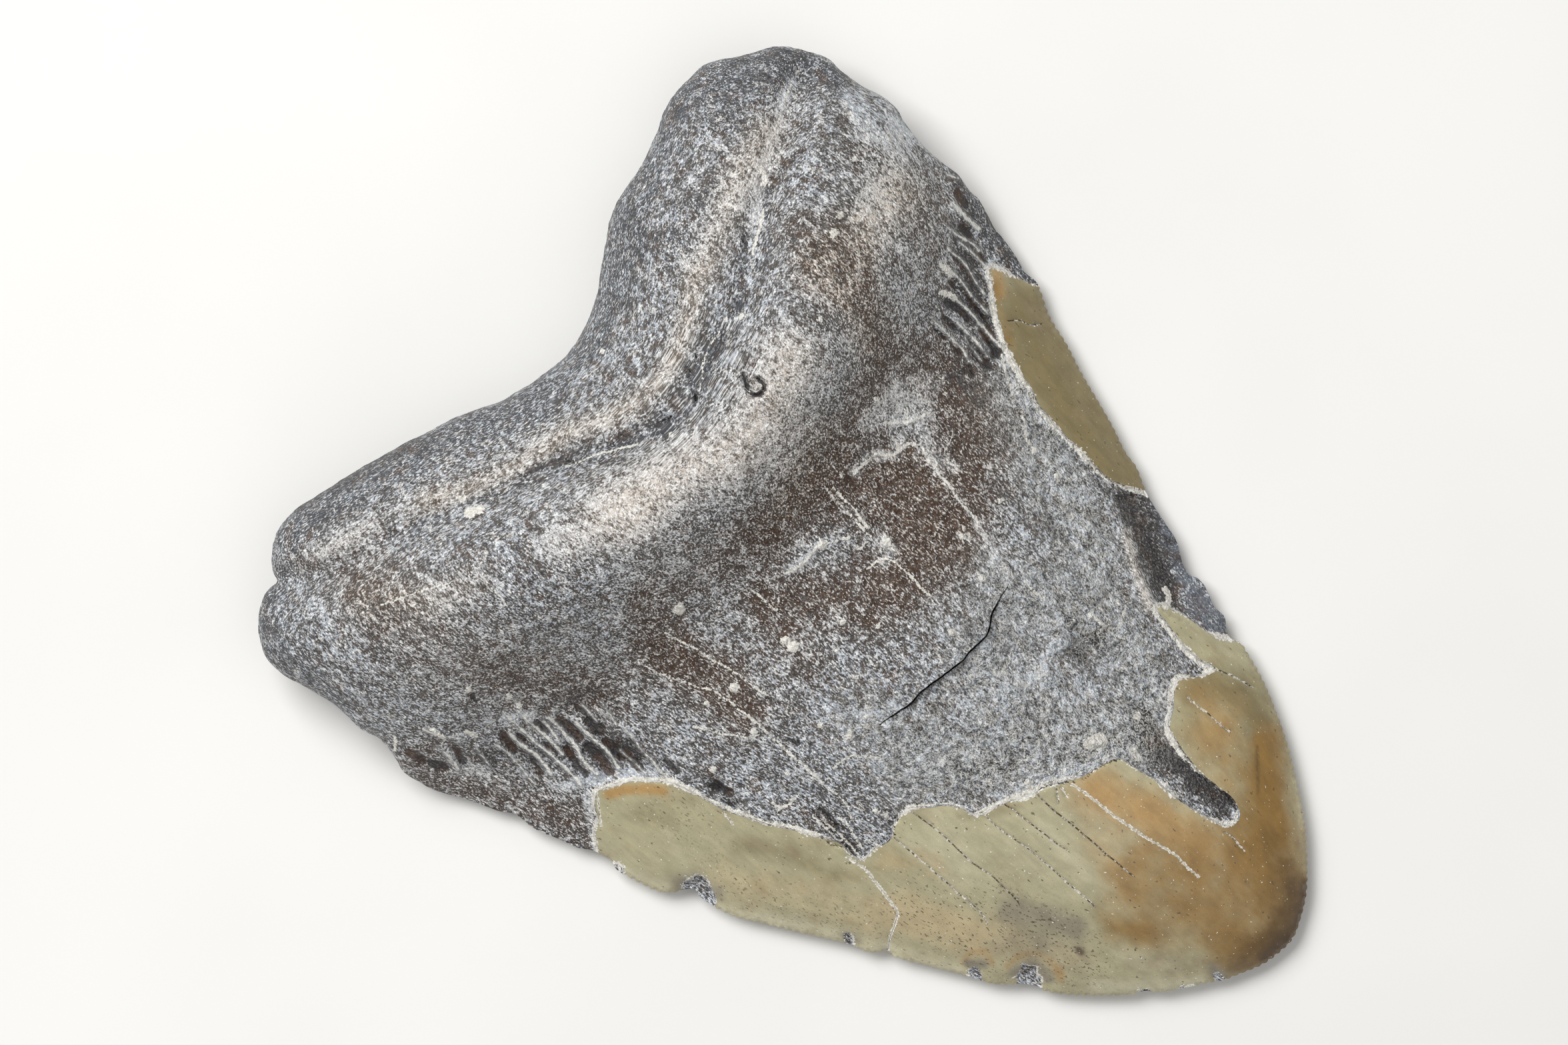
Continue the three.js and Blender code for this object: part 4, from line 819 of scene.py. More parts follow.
def rib_rise(rib, trough):
    """Rounded ribs above the strip that they stand in, and the troughs cut between them."""
    out = np.maximum(rib, 0)
    strip = RIB_HEIGHT * (bump(out, RIB_WIDTH) - bump(out, RIB_STRIP_WIDTH))
    return strip - TROUGH_DEPTH * smooth_step(-trough, -0.3, 0.3)


def ridge_rise(points):
    rise = np.zeros(len(points))
    for line, width, height in RIDGES:
        rise += height * bump(distance_near(points, drawn_line(line, 0.8), 3 * width), width)
    return rise


def lumps(points):
    """Uneven stone: lumps of three sizes, drawn out along the tooth."""
    stretched = points * (1, 0.6)
    large, middling, small = (lattice_noise(stretched, size, 51) for size in (3.1, 1.3, 0.62))
    return large + 0.65 * middling + 0.5 * small


def serration_grooves(points, edge, depth, sizes):
    """Grooves that run a little way into the enamel from between the serrations."""
    near = (edge < SERRATION_REACH) & (depth > 0)
    drop = np.zeros(len(points))
    turns = np.pi * trace(points[near], CLOSED_OUTLINE)[1] * MM / sizes.serration_pitch
    fade = (1 - edge[near] / SERRATION_REACH) ** 1.5
    drop[near] = SERRATION_GROOVE * (1 - np.abs(np.cos(turns))) * fade
    return drop


def nearest_of(points, lines, reach):
    return np.minimum.reduce([distance_near(points, line, reach) for line in lines])


def widest_of(points, strokes):
    """The widest of the strokes at each point; each is its line, its reach and its width."""
    return np.maximum.reduce([
        width * bump(distance_near(points, drawn_line(line, 1.0), 3 * reach), reach)
        for line, reach, width in strokes])


def stain_and_painted_light_fields(points, stains):
    return {name: cover_of(points, stains.get(name, [])) for name in (*BARE_STAINS_AND_PAINTED_LIGHT, *ENAMEL_STAINS)}




def top_surface(points, sizes):
    """Height of each point of the upper side, and what the material needs to know there."""
    edge = edge_distance(points)
    depth = depth_in_enamel(points)
    wall = sizes.enamel_wall / MM
    bare = smooth_step(-depth, 0, wall)
    rib = outside(points, RIB_LINES)
    trough = outside(points, TROUGH_LINES)
    crack = outside(points, [(line, 0.0) for line, _, _ in CRACKS])
    chalk = outside(points, [(line, width) for line, _, width in CRACKS])
    vein = outside(points, VEIN_LINES)
    crumb = np.full(len(points), FAR)
    for pixel, radius in CRUMBS:
        crumb = np.minimum(crumb, np.hypot(*(points - place_one(pixel)).T) - radius)
    crust = CRUST_WIDTH + widest_of(points, CRUST)

    height, thinning = main_form(points, edge)
    crest = CREST_RISE * thinning * bump(distance_to(points, drawn_line(CREST, 4.0)), CREST_WIDTH)
    enamel = sizes.enamel_thickness / MM * np.clip(1 + depth / wall, 0, 1)
    rise = crest + enamel + rib_rise(rib, trough) + ridge_rise(points)
    drop = furrow_drop(points) + scar_drop(points) + break_drop(points) + hollow_drop(points)
    height += (rise - drop) * np.minimum(1, edge / RELIEF_FADE)
    unevenness = bare * (1 + HACKLE_GAIN * cover_of(points, HACKLED)) * np.minimum(1, edge / 0.8)
    height += sizes.lump_height / MM * unevenness * lumps(points)
    height += (1 - bare) * 0.04 * lattice_noise(points, 4.3, 61)
    height += bare * crust * bump(depth + 0.35, 0.4) * (0.3 + 0.3 * lattice_noise(points, 0.6, 62))
    height -= sizes.crack_depth / MM * np.clip(1 - crack / CRACK_HALF_WIDTH, 0, 1)
    height += sizes.crumb_height / MM * np.clip(-crumb / 0.35, 0, 1) ** 0.5
    height += VEIN_RISE * bare * np.clip(-vein / 0.12, 0, 1)
    height -= serration_grooves(points, edge, depth, sizes)
    fields = {
        "edge": edge, "depth": depth, "rib": rib, "crack": crack, "chalk": chalk, "vein": vein,
        "crumb": crumb, "crust": crust, "gap": distance_near(points, SCAR, FAR),
        "pit": outside(points, PIT_LINES), "trough": trough,
        "fibre": bump(distance_near(points, drawn_line(FURROW, 2.0), 8), FIBRE_WIDTH),
        "speckled": cover_of(points, SPECKLED),
    }
    return height, {**fields, **stain_and_painted_light_fields(points, {**BARE_STAINS_AND_PAINTED_LIGHT, **ENAMEL_STAINS})}


def underside_surface(points, sizes):
    """Height and material fields of the hidden labial face: enamel below the neck, root above it."""
    edge = distance_to(points, CLOSED_OUTLINE)
    belly_width = CROWN_BELLY_WIDTH + (ROOT_BELLY_WIDTH - CROWN_BELLY_WIDTH) * root_share(points, RIM_RUN)
    height = rim_height(points) * (1 - quarter_round(edge, belly_width))
    pixel, radius, depth = LABIAL_HOLLOW
    hollow = bump(np.hypot(*(points - place_one(pixel)).T), radius)
    height += depth * np.maximum(0, hollow - bump(2 * radius, radius))
    in_crown = -signed_distance(points, NECK, NECK_LOOP)
    chipped = edge - LABIAL_CHIP_WIDTH * (1 + 0.6 * lattice_noise(points, 2.5, 71))
    depth = np.minimum(in_crown, np.maximum(depth_in_enamel(points), chipped))
    fade = np.minimum(1, edge / RELIEF_FADE)
    height += fade * NECK_GROOVE * bump(in_crown, 0.9)
    height += fade * smooth_step(-depth, 0, 0.5) * sizes.lump_height / MM * (1.2 + lumps(points))
    lines = [(drawn_line(line, 0.5, 0.1, 80), width) for line, _, width in LABIAL_CRACKS]
    crack = nearest_of(points, [line for line, _ in lines], FAR)
    chalk = np.minimum.reduce([distance_near(points, line, FAR) - width for line, width in lines])
    far = np.full(len(points), FAR)
    fields = {
        "edge": edge, "depth": depth, "rib": far, "crack": crack, "chalk": chalk, "vein": far,
        "crumb": far, "crust": CRUST_WIDTH + 0 * far, "gap": far, "pit": far,
        "trough": far, "fibre": 0 * far, "speckled": 0 * far,
    }
    return height, {**fields, **stain_and_painted_light_fields(points, LABIAL_STAINS)}


# The mesh
def walk_outline(sizes):
    """Stations round the tooth, with a rounded serration at each pitch where the edge has its enamel."""
    step = 0.05
    fine = smooth_line(place(OUTLINE), step, closed=True)
    along = np.roll(fine, -1, axis=0) - np.roll(fine, 1, axis=0)
    outward = np.stack([-along[:, 1], along[:, 0]], axis=1) / np.hypot(*along.T)[:, None]
    enamelled = depth_in_enamel(fine) > 0
    spacing = np.where(enamelled, sizes.edge_spacing / MM, OUTLINE_SPACING)
    stations = np.cumsum(step / spacing)
    count = int(stations[-1])
    picked = np.searchsorted(stations, np.arange(count) * stations[-1] / count)
    fine, outward, enamelled = fine[picked], outward[picked], enamelled[picked]
    turns = np.pi * trace(fine, CLOSED_OUTLINE)[1] * MM / sizes.serration_pitch
    wear = 0.75 + 0.4 * lattice_noise(fine, 3.0, 91)
    serrations = sizes.serration_depth / MM * wear * (np.abs(np.cos(turns)) - 0.6)
    roughness = 0.1 * lattice_noise(fine, 1.9, 92) + 0.05 * lattice_noise(fine, 0.6, 93)
    return fine + np.where(enamelled, serrations, roughness)[:, None] * outward


def beside(line, offset):
    """A line at a distance to the left of another, or to its right if the distance is negative."""
    along = np.gradient(line, axis=0)
    return line + offset * np.stack([-along[:, 1], along[:, 0]], axis=1) / np.hypot(*along.T)[:, None]


def crease_lines(sizes):
    """Lines that the mesh's edges follow: walls of the enamel, lips and bottoms of cracks, ribs, veins."""
    wall = sizes.enamel_wall / MM
    lines = []
    for line, loop in ENAMELS:
        left_is_bare = depth_in_enamel(beside(line, 0.5)[len(line) // 2][None])[0] < 0
        lines += [line, beside(line, wall if left_is_bare else -wall)]
    for line, half, _ in CRACKS:
        lines += [line, beside(line, half), beside(line, -half)]
    lines += [SCAR, beside(SCAR, SCAR_GAP), beside(SCAR, -SCAR_GAP)]
    return lines + [line for line, _ in RIB_LINES + VEIN_LINES]


def inside_pieces(line, stations):
    """The stretches of a line that lie well inside the outline."""
    kept = is_inside(line, stations) & (distance_to(line, CLOSED_OUTLINE) > OUTLINE_CLEARANCE)
    breaks = np.flatnonzero(np.diff(kept.astype(int))) + 1
    pieces = np.split(np.arange(len(line)), breaks)
    return [line[piece] for piece in pieces if kept[piece[0]] and len(piece) > 1]


def grid_inside(spacing, stations, lines):
    """An uneven triangular grid inside the outline, clear of it and of the lines."""
    randomness = np.random.default_rng(7)
    low, high = stations.min(axis=0), stations.max(axis=0)
    xs = np.arange(low[0], high[0], spacing)
    ys = np.arange(low[1], high[1], spacing * math.sqrt(3) / 2)
    grid_x, grid_y = np.meshgrid(xs, ys)
    grid_x[1::2] += spacing / 2
    points = np.stack([grid_x.ravel(), grid_y.ravel()], axis=1)
    points += randomness.uniform(-1, 1, points.shape) * UNEVENNESS * spacing
    points = points[is_inside(points, stations)]
    points = points[distance_near(points, CLOSED_OUTLINE, 1.0) > OUTLINE_CLEARANCE]
    for line in lines:
        points = points[distance_near(points, line, 0.5) > LINE_CLEARANCE]
    return points


def cover_outline(stations, inner, lines):
    """Points and triangles over the outline; the outline's stations come first and in order."""
    points = [*stations]
    count = len(stations)
    edges = [(i, (i + 1) % count) for i in range(count)]
    for line in lines:
        edges += [(i, i + 1) for i in range(len(points), len(points) + len(line) - 1)]
        points += [*line]
    points += [*inner]
    flat = [Vector(point) for point in points]
    placed, _, faces, sources, _, _ = delaunay_2d_cdt(flat, edges, [], 0, 1e-5, True)
    number = np.full(len(placed), -1)
    for i, source in enumerate(sources):
        rim = [k for k in source if k < count]
        if rim:
            number[i] = rim[0]
    new = number < 0
    number[new] = count + np.arange(new.sum())
    placed = np.array([tuple(point) for point in placed])
    ordered = np.empty((count + new.sum(), 2))
    ordered[number] = placed
    triangles = number[np.array(faces)]
    all_rim = (triangles < count).all(axis=1)
    middles = ordered[triangles].mean(axis=1)
    kept = ~all_rim
    kept[all_rim] = is_inside(middles[all_rim], stations)
    return ordered, triangles[kept]


def notch_flow(points):
    """Distance from the notch's guide line and run along it, in which the root's grain is straight."""
    guide = smooth_line(place(NOTCH_GUIDE), 2.0)
    distance, run, side = trace(points, guide)
    return np.stack([np.copysign(distance, side), run], axis=1)


def tooth_mesh(sizes):
    stations = walk_outline(sizes)
    count = len(stations)
    top_lines = [piece for line in crease_lines(sizes) for piece in inside_pieces(line, stations)]
    top_grid = grid_inside(sizes.top_spacing / MM, stations, top_lines)
    top, top_faces = cover_outline(stations, top_grid, top_lines)
    under_lines = [piece for line in (NECK,) for piece in inside_pieces(line, stations)]
    under_grid = grid_inside(sizes.underside_spacing / MM, stations, under_lines)
    under, under_faces = cover_outline(stations, under_grid, under_lines)

    top_height, top_fields = top_surface(top, sizes)
    top_height[:count] = rim_height(stations)
    under_height, under_fields = underside_surface(under[count:], sizes)
    under_faces = np.where(under_faces < count, under_faces, under_faces + len(top) - count)[:, ::-1]
    plan = np.vstack([top, under[count:]])
    heights = np.concatenate([top_height, under_height])
    vertices = np.column_stack([plan, heights])
    mesh = bpy.data.meshes.new("FossilTooth")
    mesh.from_pydata((vertices * MM).tolist(), [], np.vstack([top_faces, under_faces]).tolist())
    for name, values in top_fields.items():
        attribute = mesh.attributes.new(name, "FLOAT", "POINT")
        attribute.data.foreach_set("value", np.concatenate([values, under_fields[name]]).astype(np.float32))
    attribute = mesh.attributes.new("arch", "FLOAT", "POINT")
    attribute.data.foreach_set("value", cover_of(plan, ARCH_GRAIN).astype(np.float32))
    flow = np.column_stack([notch_flow(plan), heights])
    attribute = mesh.attributes.new("notch_flow", "FLOAT_VECTOR", "POINT")
    attribute.data.foreach_set("vector", flow.ravel().astype(np.float32))
    mesh.shade_smooth()
    mesh.set_sharp_from_angle(angle=math.radians(48))
    return mesh


# Materials
class Paint:
    """Adds nodes to a material and joins them. Lengths are millimetres."""

    def __init__(self, material):
        material.use_nodes = True
        self.tree = material.node_tree
        self.shader = self.tree.nodes["Principled BSDF"]
        self.axis_flow = self.scaled(self.node("TexCoord").outputs["Object"], 1 / MM)
        self.notch_flow = self.field("notch_flow", "Vector")

    def node(self, kind, **settings):
        node = self.tree.nodes.new("ShaderNode" + kind)
        for name, value in settings.items():
            setattr(node, name, value)
        return node

    def feed(self, socket, value):
        if isinstance(value, bpy.types.NodeSocket):
            self.tree.links.new(value, socket)
        else:
            socket.default_value = value

    def field(self, name, output="Fac"):
        return self.node("Attribute", attribute_name=name).outputs[output]

    def scaled(self, vector, scale):
        node = self.node("VectorMath", operation="SCALE")
        self.feed(node.inputs[0], vector)
        self.feed(node.inputs["Scale"], scale)
        return node.outputs[0]

    def math(self, operation, *values):
        node = self.node("Math", operation=operation)
        for socket, value in zip(node.inputs, values):
            self.feed(socket, value)
        return node.outputs[0]

    def add(self, first, second):
        return self.math("ADD", first, second)

    def times(self, first, second):
        return self.math("MULTIPLY", first, second)

    def mix(self, share, first, second):
        """Mixes two colours."""
        node = self.node("Mix", data_type="RGBA")
        for socket, value in zip((node.inputs[0], node.inputs[6], node.inputs[7]), (share, first, second)):
            self.feed(socket, value if isinstance(value, (float, bpy.types.NodeSocket)) else (*value, 1))
        return node.outputs[2]

    def shaded(self, colour, factor):
        """A colour made darker or lighter by a factor."""
        return self.scaled(colour, factor)

    def between(self, share, first, second):
        """Mixes two numbers."""
        node = self.node("Mix", data_type="FLOAT")
        for socket, value in zip((node.inputs[0], node.inputs[2], node.inputs[3]), (share, first, second)):
            self.feed(socket, value)
        return node.outputs[0]

    def step(self, value, low, high):
        """0 up to the low value, 1 from the high one, and a smooth change between them."""
        node = self.node("MapRange", interpolation_type="SMOOTHSTEP")
        for name, number in (("Value", value), ("From Min", low), ("From Max", high)):
            self.feed(node.inputs[name], number)
        return node.outputs["Result"]

    def noise(self, flow, size, stretch=1.0, detail=2.0, shift=0.0, roughness=0.5):
        """Noise around 0, from about -0.5 to 0.5, with patches of a size, longer along y by the stretch."""
        mapping = self.node("Mapping")
        self.feed(mapping.inputs["Vector"], flow)
        self.feed(mapping.inputs["Location"], (shift, shift, shift))
        self.feed(mapping.inputs["Scale"], (1 / size, 1 / (size * stretch), 1 / size))
        texture = self.node("TexNoise")
        self.feed(texture.inputs["Vector"], mapping.outputs[0])
        self.feed(texture.inputs["Scale"], 1.0)
        self.feed(texture.inputs["Detail"], detail)
        self.feed(texture.inputs["Roughness"], roughness)
        return self.math("SUBTRACT", texture.outputs["Fac"], 0.5)

    def grain(self, size, stretch, detail=2.0, shift=0.0, roughness=0.5):
        """Noise drawn out along the tooth's axis, or along the notch where the root's grain turns."""
        along_axis = self.noise(self.axis_flow, size, stretch, detail, shift, roughness)
        along_notch = self.noise(self.notch_flow, size, stretch, detail, shift, roughness)
        return self.between(self.field("arch"), along_axis, along_notch)

    def wisps(self, size, stretch, width, shift=0.0):
        """Thin curling lines, where the noise of a size passes through 0."""
        level = self.grain(size, stretch, 3.0, shift, 0.6)
        return self.step(self.math("ABSOLUTE", level), width, 0.0)


def lay_stains_and_painted_light(paint, ground, stains, colours, mottle, openness, soft=0.3):
    """Lays each stain or painted band of highlight or shade over the ground, and changes how far the pale dust closes
    up where it lies.
    """
    for name in stains:
        cover = paint.step(paint.add(paint.field(name), mottle), 0.5 - soft, 0.5 + soft)
        ground = paint.mix(cover, ground, getattr(colours, name))
        openness = paint.add(openness, paint.times(cover, FLECK_SHIFT.get(name, 0.0)))
    return ground, openness


def bare_tooth(paint, colours):
    """Root and dentine: dark stone under pale dust in clouds and streaks, with white grains, painted glints, and
    painted light and shade on the flakes.
    """
    mottle = paint.times(paint.noise(paint.axis_flow, 1.1, 1.5, 5.0, 3.0, 0.8), 2.8)
    ground, openness = lay_stains_and_painted_light(paint, colours.stone, BARE_STAINS_AND_PAINTED_LIGHT, colours, mottle, BARE_OPENNESS)
    rusty = paint.step(paint.noise(paint.axis_flow, 2.0, 1.4, 5.0, 8.0, 0.7), 0.0, 0.15)
    ground = paint.mix(paint.times(rusty, 0.6), ground, colours.rust)
    smooth = paint.math("MAXIMUM", paint.field("coal"), paint.field("flint"))
    smooth = paint.math("MAXIMUM", smooth, paint.times(paint.field("haze"), 0.6))
    hollows = paint.step(paint.noise(paint.axis_flow, 1.1, 1.4, 4.0, 37.0, 0.7), 0.08, 0.2)
    hollows = paint.times(hollows, paint.between(paint.field("umber"), 0.5, 0.2))
    ground = paint.mix(hollows, ground, colours.pore)
    clouds = paint.noise(paint.axis_flow, 2.2, 1.4, 6.0, 9.0, 0.7)
    flakes = paint.noise(paint.axis_flow, 0.9, 1.4, 4.0, 61.0, 0.6)
    streaks = paint.noise(paint.axis_flow, 0.7, 4.0, 3.0, 19.0, 0.6)
    threads = paint.times(paint.noise(paint.notch_flow, 0.27, 2.4, 3.0, 5.0, 0.6), 1.2)
    fibrous = paint.times(paint.field("fibre"), 0.5)
    grain = paint.between(fibrous, paint.grain(0.22, 2.2, 2.0, 0.0, 0.6), threads)
    grain = paint.times(grain, paint.between(paint.field("haze"), 1.0, 0.45))
    # The pale dust follows the flakes of the bump as well: painted light where they stand high, painted shade where
    # they sink
    relief = paint.times(flakes, paint.add(0.6, paint.times(paint.field("haze"), 0.6)))
    broad = paint.add(paint.times(clouds, 0.6), relief)
    dust = paint.add(broad, paint.add(paint.times(grain, 1.4), paint.times(streaks, 0.4)))
    dust = paint.add(dust, openness)
    dust = paint.step(dust, -0.16, 0.17)
    warm = paint.step(paint.noise(paint.axis_flow, 1.6, 1.3, 4.0, 7.0, 0.65), 0.0, 0.15)
    warm_ground = paint.add(paint.field("cream_and_highlight"), paint.add(paint.field("sand_and_highlight"), paint.field("umber")))
    warm = paint.math("MAXIMUM", paint.times(warm, 0.6), warm_ground)
    warm = paint.math("MINIMUM", warm, 1.0)
    dust_colour = paint.mix(warm, colours.fleck, colours.cream_fleck)
    colour = paint.mix(dust, ground, dust_colour)
    blots = paint.step(paint.noise(paint.axis_flow, 0.8, 1.3, 3.0, 35.0, 0.6), 0.13, 0.19)
    colour = paint.mix(paint.times(blots, paint.add(0.05, paint.times(dust, 0.6))), colour, colours.chalk)
    seams = paint.wisps(0.7, 1.5, 0.035, 17.0)
    colour = paint.mix(paint.times(seams, 0.6), colour, colours.pore)
    # Small curling lines in the glint colour: painted glints of light, partly white grains
    curled_glints = paint.times(paint.wisps(0.7, 1.9, 0.035, 13.0), paint.add(0.08, paint.times(dust, 0.75)))
    colour = paint.mix(curled_glints, colour, colours.glint)
    swirls = paint.math("MAXIMUM", paint.wisps(0.9, 1.2, 0.035, 15.0), paint.wisps(0.5, 1.3, 0.05, 16.0))
    colour = paint.mix(paint.times(swirls, paint.times(paint.field("haze"), 0.75)), colour, colours.chalk)
    # Painted shade where the flakes of the hazy dentine sink lowest
    cleft_shade = paint.times(paint.step(flakes, -0.04, -0.2), paint.field("haze"))
    colour = paint.mix(paint.times(cleft_shade, 0.5), colour, colours.pore)
    # Painted glints of light on the grains, partly small white grains themselves; fewer where the stone is smooth
    glints = paint.step(paint.grain(0.2, 2.0, 1.0, 11.0), 0.1, 0.15)
    glints = paint.times(glints, paint.between(smooth, paint.add(0.5, paint.times(dust, 0.5)), 0.15))
    colour = paint.mix(glints, colour, colours.glint)
    return colour, dust, flakes


def rib_colour(paint, colours, colour):
    """Pale ribs with a painted highlight along each crest, and the dark troughs, of the ribbed strips beside the root.
    """
    ragged = paint.noise(paint.axis_flow, 0.5, 2.0, 4.0, 5.0, 0.65)
    trough = paint.step(paint.add(paint.field("trough"), paint.times(ragged, 1.1)), 0.1, -0.12)
    brown = paint.step(paint.noise(paint.axis_flow, 2.5, 1.0, 2.0, 6.0), -0.08, 0.12)
    dark = paint.mix(brown, colours.coal, colours.umber)
    colour = paint.mix(paint.times(trough, 0.88), colour, dark)
    flank = paint.step(paint.add(paint.field("rib"), paint.times(ragged, 0.9)), 0.26, 0.02)
    colour = paint.mix(paint.times(flank, 0.4), colour, colours.rib)
    # A painted highlight along each rib's crest, in the white of the chalk
    crest_highlight = paint.step(paint.add(paint.field("rib"), paint.times(ragged, 0.8)), 0.02, -0.14)
    return paint.mix(paint.times(crest_highlight, 0.75), colour, colours.chalk)


def enamel_colour(paint, colours):
    """Tan enamel: broad stains, faint lines along the tooth, small dark specks."""
    mottle = paint.times(paint.noise(paint.axis_flow, 3.0, 1.3, 5.0, 21.0), 0.8)
    ground, _ = lay_stains_and_painted_light(paint, colours.enamel, ENAMEL_STAINS, colours, mottle, 0.0, 0.5)
    clouds = paint.step(paint.noise(paint.axis_flow, 1.6, 1.6, 4.0, 25.0), -0.25, 0.25)
    lines = paint.step(paint.noise(paint.axis_flow, 0.5, 9.0, 3.0, 23.0), -0.3, 0.3)
    shade = paint.between(0.4, clouds, lines)
    ground = paint.shaded(ground, paint.between(shade, 0.84, 1.16))
    specks = paint.step(paint.noise(paint.axis_flow, 0.36, 2.4, 1.0, 27.0), 0.2, 0.27)
    crowded = paint.step(paint.noise(paint.axis_flow, 0.24, 2.4, 1.0, 29.0), 0.12, 0.19)
    crowded = paint.times(crowded, paint.math("MINIMUM", paint.times(paint.field("speckled"), 1.5), 1.0))
    ground = paint.mix(paint.times(paint.math("MAXIMUM", specks, crowded), 0.8), ground, colours.speck)
    nicks = paint.step(paint.noise(paint.axis_flow, 0.28, 1.3, 1.0, 31.0), 0.23, 0.28)
    ground = paint.mix(paint.times(nicks, 0.7), ground, colours.chalk)
    edge_wear = paint.step(paint.add(paint.field("edge"), paint.noise(paint.axis_flow, 0.6)), 0.45, 0.1)
    ground = paint.mix(paint.times(edge_wear, 0.35), ground, colours.ash)
    grain = paint.noise(paint.axis_flow, 0.14, 1.0, 2.0, 33.0)
    return paint.shaded(ground, paint.add(1.0, paint.times(grain, 0.35)))


def chalk_share(paint):
    """Where white matter fills the cracks, the veins and the foot of the enamel, or lies as crumbs."""
    ragged = paint.noise(paint.axis_flow, 0.35, 1.0, 3.0, 41.0)
    broad = paint.noise(paint.axis_flow, 3.0, 1.0, 2.0, 43.0)
    shares = []
    for name, raggedness in (("chalk", 0.7), ("vein", 0.85), ("crumb", 1.0)):
        reach = paint.add(paint.field(name), paint.times(ragged, raggedness))
        reach = paint.add(reach, paint.times(broad, 0.15))
        shares.append(paint.step(reach, 0.04, -0.04))
    out = paint.math("ABSOLUTE", paint.add(paint.field("depth"), paint.times(paint.field("crust"), 0.6)))
    reach = paint.math("SUBTRACT", out, paint.times(paint.field("crust"), 0.62))
    reach = paint.add(reach, paint.add(paint.times(ragged, 1.2), paint.times(broad, 1.2)))
    shares.append(paint.step(reach, 0.06, -0.06))
    total = shares[0]
    for share in shares[1:]:
        total = paint.math("MAXIMUM", total, share)
    return total


def fossil_surface(colours):
    material = bpy.data.materials.new("FossilToothSurface")
    paint = Paint(material)
    in_enamel = paint.step(paint.field("depth"), -0.02, 0.02)
    stone, flecks, flakes = bare_tooth(paint, colours)
    stone = rib_colour(paint, colours, stone)
    colour = paint.mix(in_enamel, stone, enamel_colour(paint, colours))
    crack = paint.step(paint.field("crack"), 0.1, 0.03)
    colour = paint.mix(paint.times(crack, 0.75), colour, colours.crack)
    chalk = paint.times(chalk_share(paint), 0.9)
    powder = paint.step(paint.noise(paint.axis_flow, 0.3, 1.0, 2.0, 47.0), -0.2, 0.2)
    colour = paint.mix(chalk, colour, paint.mix(powder, colours.chalk, colours.chalk_shade))
    ragged = paint.times(paint.noise(paint.axis_flow, 0.3, 2.0, 2.0, 49.0), 0.3)
    gap = paint.step(paint.add(paint.field("gap"), ragged), 0.1, 0.03)
    crumbled = paint.times(paint.noise(paint.axis_flow, 0.25, 3.0, 2.0, 57.0), 0.9)
    pit = paint.times(paint.step(paint.add(paint.field("pit"), crumbled), 0.04, -0.08), 0.9)
    colour = paint.mix(paint.math("MAXIMUM", gap, pit), colour, colours.pore)
    paint.feed(paint.shader.inputs["Base Color"], colour)

    roughness = paint.between(flecks, 0.62, 0.5)
    roughness = paint.between(in_enamel, roughness, colours.enamel_roughness)
    paint.feed(paint.shader.inputs["Roughness"], paint.between(chalk, roughness, 0.85))
    paint.shader.inputs["IOR"].default_value = 1.5

    stone_bump = paint.add(paint.times(flecks, 0.05), paint.times(paint.grain(0.25, 1.6, 3.0, 51.0), 0.12))
    flaked = paint.add(0.8, paint.times(paint.field("haze"), 1.4))
    stone_bump = paint.add(stone_bump, paint.times(flakes, flaked))
    enamel_bump = paint.times(paint.noise(paint.axis_flow, 0.6, 4.0, 3.0, 53.0), 0.03)
    height = paint.between(in_enamel, stone_bump, enamel_bump)
    height = paint.add(height, paint.times(chalk, paint.times(powder, 0.06)))
    bump_node = paint.node("Bump")
    paint.feed(bump_node.inputs["Height"], height)
    bump_node.inputs["Distance"].default_value = MM
    bump_node.inputs["Strength"].default_value = colours.bump_strength
    paint.feed(paint.shader.inputs["Normal"], bump_node.outputs[0])
    return material


def floor_surface(colour):
    material = bpy.data.materials.new("PaleFloor")
    paint = Paint(material)
    shade = paint.noise(paint.axis_flow, 60.0, 1.0, 3.0)
    paler = [min(1.0, 1.04 * channel) for channel in colour]
    paint.feed(paint.shader.inputs["Base Color"], paint.mix(paint.step(shade, -0.2, 0.2), colour, paler))
    paint.shader.inputs["Roughness"].default_value = 0.9
    return material


# Settings, as a user would change them
def from_screen(red, green, blue):
    """The linear colour of a screen colour whose channels run to 255."""
    channels = (red / 255, green / 255, blue / 255)
    return tuple(c / 12.92 if c <= 0.04045 else ((c + 0.055) / 1.055) ** 2.4 for c in channels)


def colour_setting(name, colour, description):
    return FloatVectorProperty(name=name, description=description, default=from_screen(*colour),
                               subtype="COLOR", min=0, max=1)


def length_setting(name, millimetres, description):
    return FloatProperty(name=name, description=description, default=millimetres * MM, unit="LENGTH",
                         precision=5, min=0)


class FossilToothSizes(PropertyGroup):
    top_spacing: length_setting("Top Spacing", 0.345, "Distance between points of the upper side")
    underside_spacing: length_setting("Underside Spacing", 0.72, "Distance between points of the underside")
    edge_spacing: length_setting("Edge Spacing", 0.19, "Distance between points of the serrated edge")
    serration_pitch: length_setting("Serration Pitch", 0.95, "Distance from one serration to the next")
    serration_depth: length_setting("Serration Depth", 0.26, "Depth of the notches between serrations")
    enamel_thickness: length_setting("Enamel Thickness", 0.9, "How far the enamel stands above the dentine")
    enamel_wall: length_setting("Enamel Wall", 0.24, "Run of the enamel's broken wall")
    crack_depth: length_setting("Crack Depth", 0.3, "Depth of the cracks in the enamel")
    crumb_height: length_setting("Crumb Height", 0.35, "Height of the white crumbs on the bare tooth")
    lump_height: length_setting("Lump Height", 0.13, "Height of the lumps of the bare tooth")


